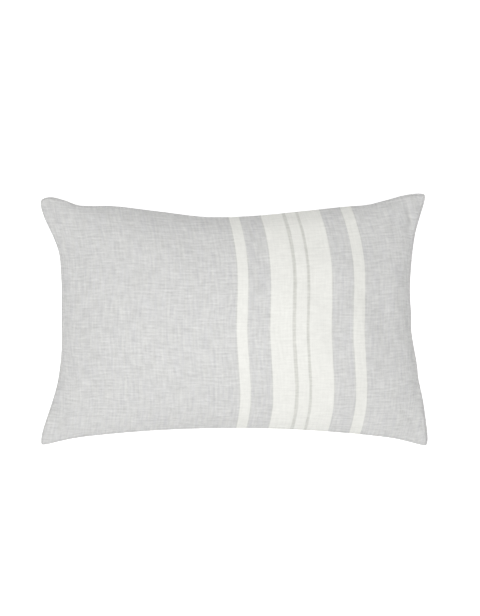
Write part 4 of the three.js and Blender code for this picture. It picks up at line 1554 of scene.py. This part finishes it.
@dataclass
class Pad:
    """The inner pad: two halves of a cotton case, their stitching, and the filling."""

    cover: Cover
    columns: int = 64
    rows: int = 44
    crowding: float = 0.5
    inset: float = 21 * MM
    tip_draw_in: float = 14 * MM
    tip_power: float = 8.0
    gap: float = 3 * MM
    cloth: float = 0.6 * MM
    rim_rise: float = 0.6 * MM
    allowance: float = 8 * MM
    crown_power_x: float = 2.4
    crown_power_y: float = 2.0
    steepness: float = 0.5
    softness: float = 2.5 * MM
    lump: float = 0.5 * MM
    lump_size: float = 45 * MM
    thread_inset: float = 3 * MM
    filling_inset: float = 9 * MM
    filling_gap: float = 2.6 * MM
    tuft: float = 1.1 * MM
    tuft_size: float = 26 * MM
    small_tuft_size: float = 11 * MM
    case_fill: float = 0.75
    filling_fill: float = 0.7

    def __post_init__(self) -> None:
        """Lays out the pad's grid."""
        self.u, self.v = np.meshgrid(
            grid_lines(self.columns, self.crowding),
            grid_lines(self.rows, self.crowding),
            indexing="ij",
        )

    def plan(self, u: Array, v: Array, inset: float = 0.0) -> tuple[Array, Array]:
        """Place from above, inside the pad's own rounded outline."""
        x, y = self.cover.line.plan(u, v, self.inset + inset)
        drawn = self.tip_draw_in * np.abs(u * v) ** self.tip_power
        return x - np.sign(u) * drawn, y - np.sign(v) * drawn

    def rise(self, side: Side, inset: float, gap: float) -> tuple[Array, Array, Array]:
        """A crowned surface of the pad.

        Args:
            side: Front or back.
            inset: Distance inside the pad's outline.
            gap: Distance to the inside of the cover.

        Returns:
            x, y and the rise: a steep crown of its own, or the cover's inside less the gap
            where that is lower, joined softly.
        """
        x, y = self.plan(self.u, self.v, inset)
        shape = 1 - np.abs(self.u) ** self.crown_power_x
        shape = shape * (1 - np.abs(self.v) ** self.crown_power_y)
        crown = self.cover.inner_rise(side, x, y).max() - gap
        own = crown * np.clip(shape, 0, None) ** self.steepness + 1.5 * self.cloth + self.rim_rise
        under = self.cover.inner_rise(side, x, y) - gap
        rise = -self.softness * np.logaddexp(-own / self.softness, -under / self.softness)
        return x, y, np.maximum(rise, self.rim_rise + 1.5 * self.cloth)

    def case_half(self, side: Side) -> Piece:
        """Half of the case, with soft lumps of the filling pressing through.

        Args:
            side: Front or back.

        Returns:
            The half. Its lumps are hollows below the smooth crown, so none comes nearer to the
            cover.
        """
        x, y, rise = self.rise(side, 0.0, self.gap)
        lumps = clouds(np.stack([x, y], -1), self.lump_size, 11 + side.value)
        room = np.minimum(np.minimum(1 - np.abs(self.u), 1 - np.abs(self.v)) * 8, 1)
        rise = rise - self.lump * room * (1 + np.tanh(lumps))
        z = self.cover.line.plane + side.value * rise
        place = np.stack([x - self.u * self.cloth * 0.6, y - self.v * self.cloth * 0.6, z], -1)
        middle = (self.columns // 2, self.rows // 2)
        over = [along_columns(place, axis, middle[axis]) for axis in (0, 1)]
        return SewnPanel(
            name=f"pad_case_{side.word}",
            side=side,
            u=self.u,
            v=self.v,
            place=place,
            edge=self.plan,
            rim=lambda edge_x, v, inset: np.full(edge_x.shape, self.rim_rise),
            plane=self.cover.line.plane,
            cloth=self.cloth,
            allowance=self.allowance,
            maps={"weave": np.stack(over, -1)},
        ).piece()

    def stitching(self) -> Piece:
        """The closed ring of stitches round the pad."""
        i, j = round_the_edge(self.columns, self.rows)
        x, y = self.plan(self.u[i, j], self.v[i, j], self.thread_inset)
        path = np.stack([x, y, np.full(len(x), self.cover.line.plane)], -1)
        path = np.concatenate([path, path[:1]])
        return stitched(path, "pad_seam_stitches", ring=True)

    def filling(self) -> Piece:
        """The filling: one closed body just inside the case, with tufts over its surface."""
        halves = []
        for side in Side:
            x, y, rise = self.rise(side, self.filling_inset, self.gap + self.filling_gap)
            plan = np.stack([x, y], -1)
            tufts = clouds(plan, self.tuft_size, 21 + side.value)
            tufts = tufts + 0.6 * clouds(plan, self.small_tuft_size, 31 + side.value)
            room = np.minimum(np.minimum(1 - np.abs(self.u), 1 - np.abs(self.v)) * 10, 1)
            rise = rise - self.cloth - self.tuft * room * (1 + np.tanh(tufts))
            rise = np.maximum(rise, self.rim_rise + self.cloth)
            halves.append(np.stack([x, y, self.cover.line.plane + side.value * rise], -1))
        index = np.arange(self.u.size).reshape(self.u.shape)
        i, j = round_the_edge(self.columns, self.rows)
        rim = index[i, j]
        band = grid_faces(np.stack([rim, rim + self.u.size]), closed=True)
        faces = [grid_faces(index), grid_faces(index + self.u.size)[:, ::-1], band]
        points = np.concatenate([half.reshape(-1, 3) for half in halves])
        return Piece("pad_filling_fibre", points, np.concatenate(faces))

    def make(self) -> None:
        """Builds and dresses the pad."""
        for side in Side:
            half = self.case_half(side).build()
            thicken(half, self.cloth)
            soften(half)
            settle(half, PILLOW, Ticking("pad_ticking"), [f"insert_case_{side.word}"])
        row = self.stitching().build()
        face_outwards(row)
        settle(row, PILLOW, SewingThread("sewing_thread"), ["insert_seam_thread"])
        body = self.filling().build()
        face_outwards(body)
        soften(body)
        settle(body, PILLOW, Fibre("pad_fibre"), ["insert_filling"])


@dataclass
class CareLabel:
    """The blank satin label, sewn into the left seam and lying between the cover and the pad."""

    cover: Cover
    pad: Pad
    middle: float = -30 * MM
    width: float = 30 * MM
    ribbon: float = 0.3 * MM
    root: float = 7.2 * MM
    tip: float = 55 * MM
    bend_start: float = 18.5 * MM
    bend_end: float = 22.0 * MM
    curl: float = 0.25 * MM

    def make(self) -> None:
        """Lays the ribbon: level out of the seam, then half way between the cover and the pad."""
        across = np.linspace(-0.5, 0.5, 13)[None] * self.width
        share = np.linspace(0, 1, 49)[:, None]
        inset = self.root + (self.tip - self.root) * share
        y = self.middle + across + 0 * inset
        height = y / self.cover.line.half_height
        seam, _ = self.cover.line.plan(np.full(y.shape, -1.0), height)
        x = seam + inset
        under_cover = self.cover.inner_rise(Side.BACK, x, y)
        pad_x, _, pad_rise = self.pad.rise(Side.BACK, 0.0, self.pad.gap)
        near = np.argmin(np.abs(self.pad.v[0] * self.cover.line.half_height - self.middle))
        over_pad = np.interp(x, pad_x[:, near], pad_rise[:, near], left=0.0) + self.pad.cloth / 2
        between = (under_cover + over_pad) / 2
        rise = between * smoothstep(inset, self.bend_start, self.bend_end)
        wave = self.curl * np.sin(share * 9.0) * np.cos(across / self.width * 5.0)
        rise = rise + wave * smoothstep(inset, 26 * MM, 40 * MM)
        place = np.stack([x, y, self.cover.line.plane - rise], -1)
        index = np.arange(y.size).reshape(y.shape)
        length = along_columns(place, 0, 0)
        maps = {"weave": np.stack([length, across + 0 * length], -1).reshape(-1, 2)}
        made = Piece("care_label_ribbon", place.reshape(-1, 3), grid_faces(index)[:, ::-1], maps).build()
        thicken(made, self.ribbon)
        soften(made)
        settle(made, PILLOW, SatinRibbon("label_ribbon"), ["care_label"])


# ---- Studio -------------------------------------------------------------------------------


@dataclass
class Studio:
    """A pale floor, soft light from all round and above, and a camera straight over the pillow."""

    floor_size: float = 80.0
    lens: float = 85.0
    view_height: float = 0.9548
    aim: tuple[float, float] = (0.0101, 0.0186)
    floor_glow: float = 0.62
    ambient: float = 0.28
    key_power: float = 47.8
    key_size: tuple[float, float] = (2.0, 1.4)
    key_place: tuple[float, float, float] = (-0.15, -0.24, 2.24)
    key_target: tuple[float, float, float] = (0.0, 0.0, 0.1)
    sensor: float = 36.0
    seam_height: float = 66 * MM

    def floor(self) -> None:
        """A plain white floor that is seen from above only, and glows like a light table."""
        half = self.floor_size / 2
        corners = np.array([[-half, -half, 0], [half, -half, 0], [half, half, 0], [-half, half, 0]])
        floor = Piece("studio_floor", corners - [0, 0, 0.4 * MM], np.array([[0, 1, 2, 3]])).build()
        recipe = Recipe("studio_floor")
        cloudy = recipe.noise(recipe.solid_place(), 3.0).ramp(-1.0, 1.0)
        recipe.finish(
            Base_Color=recipe.mix(cloudy, (0.80, 0.80, 0.80, 1.0), (0.83, 0.83, 0.83, 1.0)),
            Roughness=0.9,
            Emission_Color=(1.0, 1.0, 1.0, 1.0),
            Emission_Strength=self.floor_glow,
        )
        floor.data.materials.append(recipe.material)

    def lights(self) -> None:
        """An even surround, and one large soft light from the lower left."""
        world = bpy.data.worlds.new("studio_surround")
        bpy.context.scene.world = world
        world.use_nodes = True
        tree = world.node_tree
        glow = tree.nodes["Background"]
        glow.inputs["Strength"].default_value = self.ambient
        backdrop = tree.nodes.new("ShaderNodeBackground")
        backdrop.inputs["Strength"].default_value = 1.0
        for ground in (glow, backdrop):
            ground.inputs["Color"].default_value = (1.0, 1.0, 1.0, 1.0)
        chosen = tree.nodes.new("ShaderNodeMixShader")
        seen = tree.nodes.new("ShaderNodeLightPath")
        tree.links.new(seen.outputs["Is Camera Ray"], chosen.inputs[0])
        tree.links.new(glow.outputs[0], chosen.inputs[1])
        tree.links.new(backdrop.outputs[0], chosen.inputs[2])
        tree.links.new(chosen.outputs[0], tree.nodes["World Output"].inputs[0])
        lamp = bpy.data.lights.new("studio_softbox", "AREA")
        lamp.shape = "RECTANGLE"
        lamp.size, lamp.size_y = self.key_size
        lamp.energy = self.key_power
        stand = bpy.data.objects.new("studio_softbox", lamp)
        stand.location = self.key_place
        aim = Vector(self.key_target) - stand.location
        stand.rotation_euler = aim.to_track_quat("-Z", "Y").to_euler()
        bpy.context.scene.collection.objects.link(stand)

    def camera(self) -> None:
        """A long lens that looks straight down, with the pillow a little low in the view."""
        eye = bpy.data.cameras.new("studio_camera")
        eye.lens = self.lens
        eye.sensor_width = self.sensor
        height = self.view_height * self.lens / eye.sensor_width
        stand = bpy.data.objects.new("studio_camera", eye)
        stand.location = (*self.aim, self.seam_height + height)
        bpy.context.scene.collection.objects.link(stand)
        bpy.context.scene.camera = stand

    def make(self) -> None:
        """Sets up the floor, the lights, the camera and how tones are shown."""
        self.floor()
        self.lights()
        self.camera()
        bpy.context.scene.view_settings.view_transform = "Standard"
        bpy.context.scene.view_settings.look = "None"


def main() -> None:
    """Builds the pillow from the outside in."""
    logging.basicConfig(level=logging.INFO, format="%(message)s")
    Studio().make()
    cover = Cover()
    cover.make()
    Zip().make()
    pad = Pad(cover)
    pad.make()
    CareLabel(cover, pad).make()


if __name__ == "__main__":
    main()
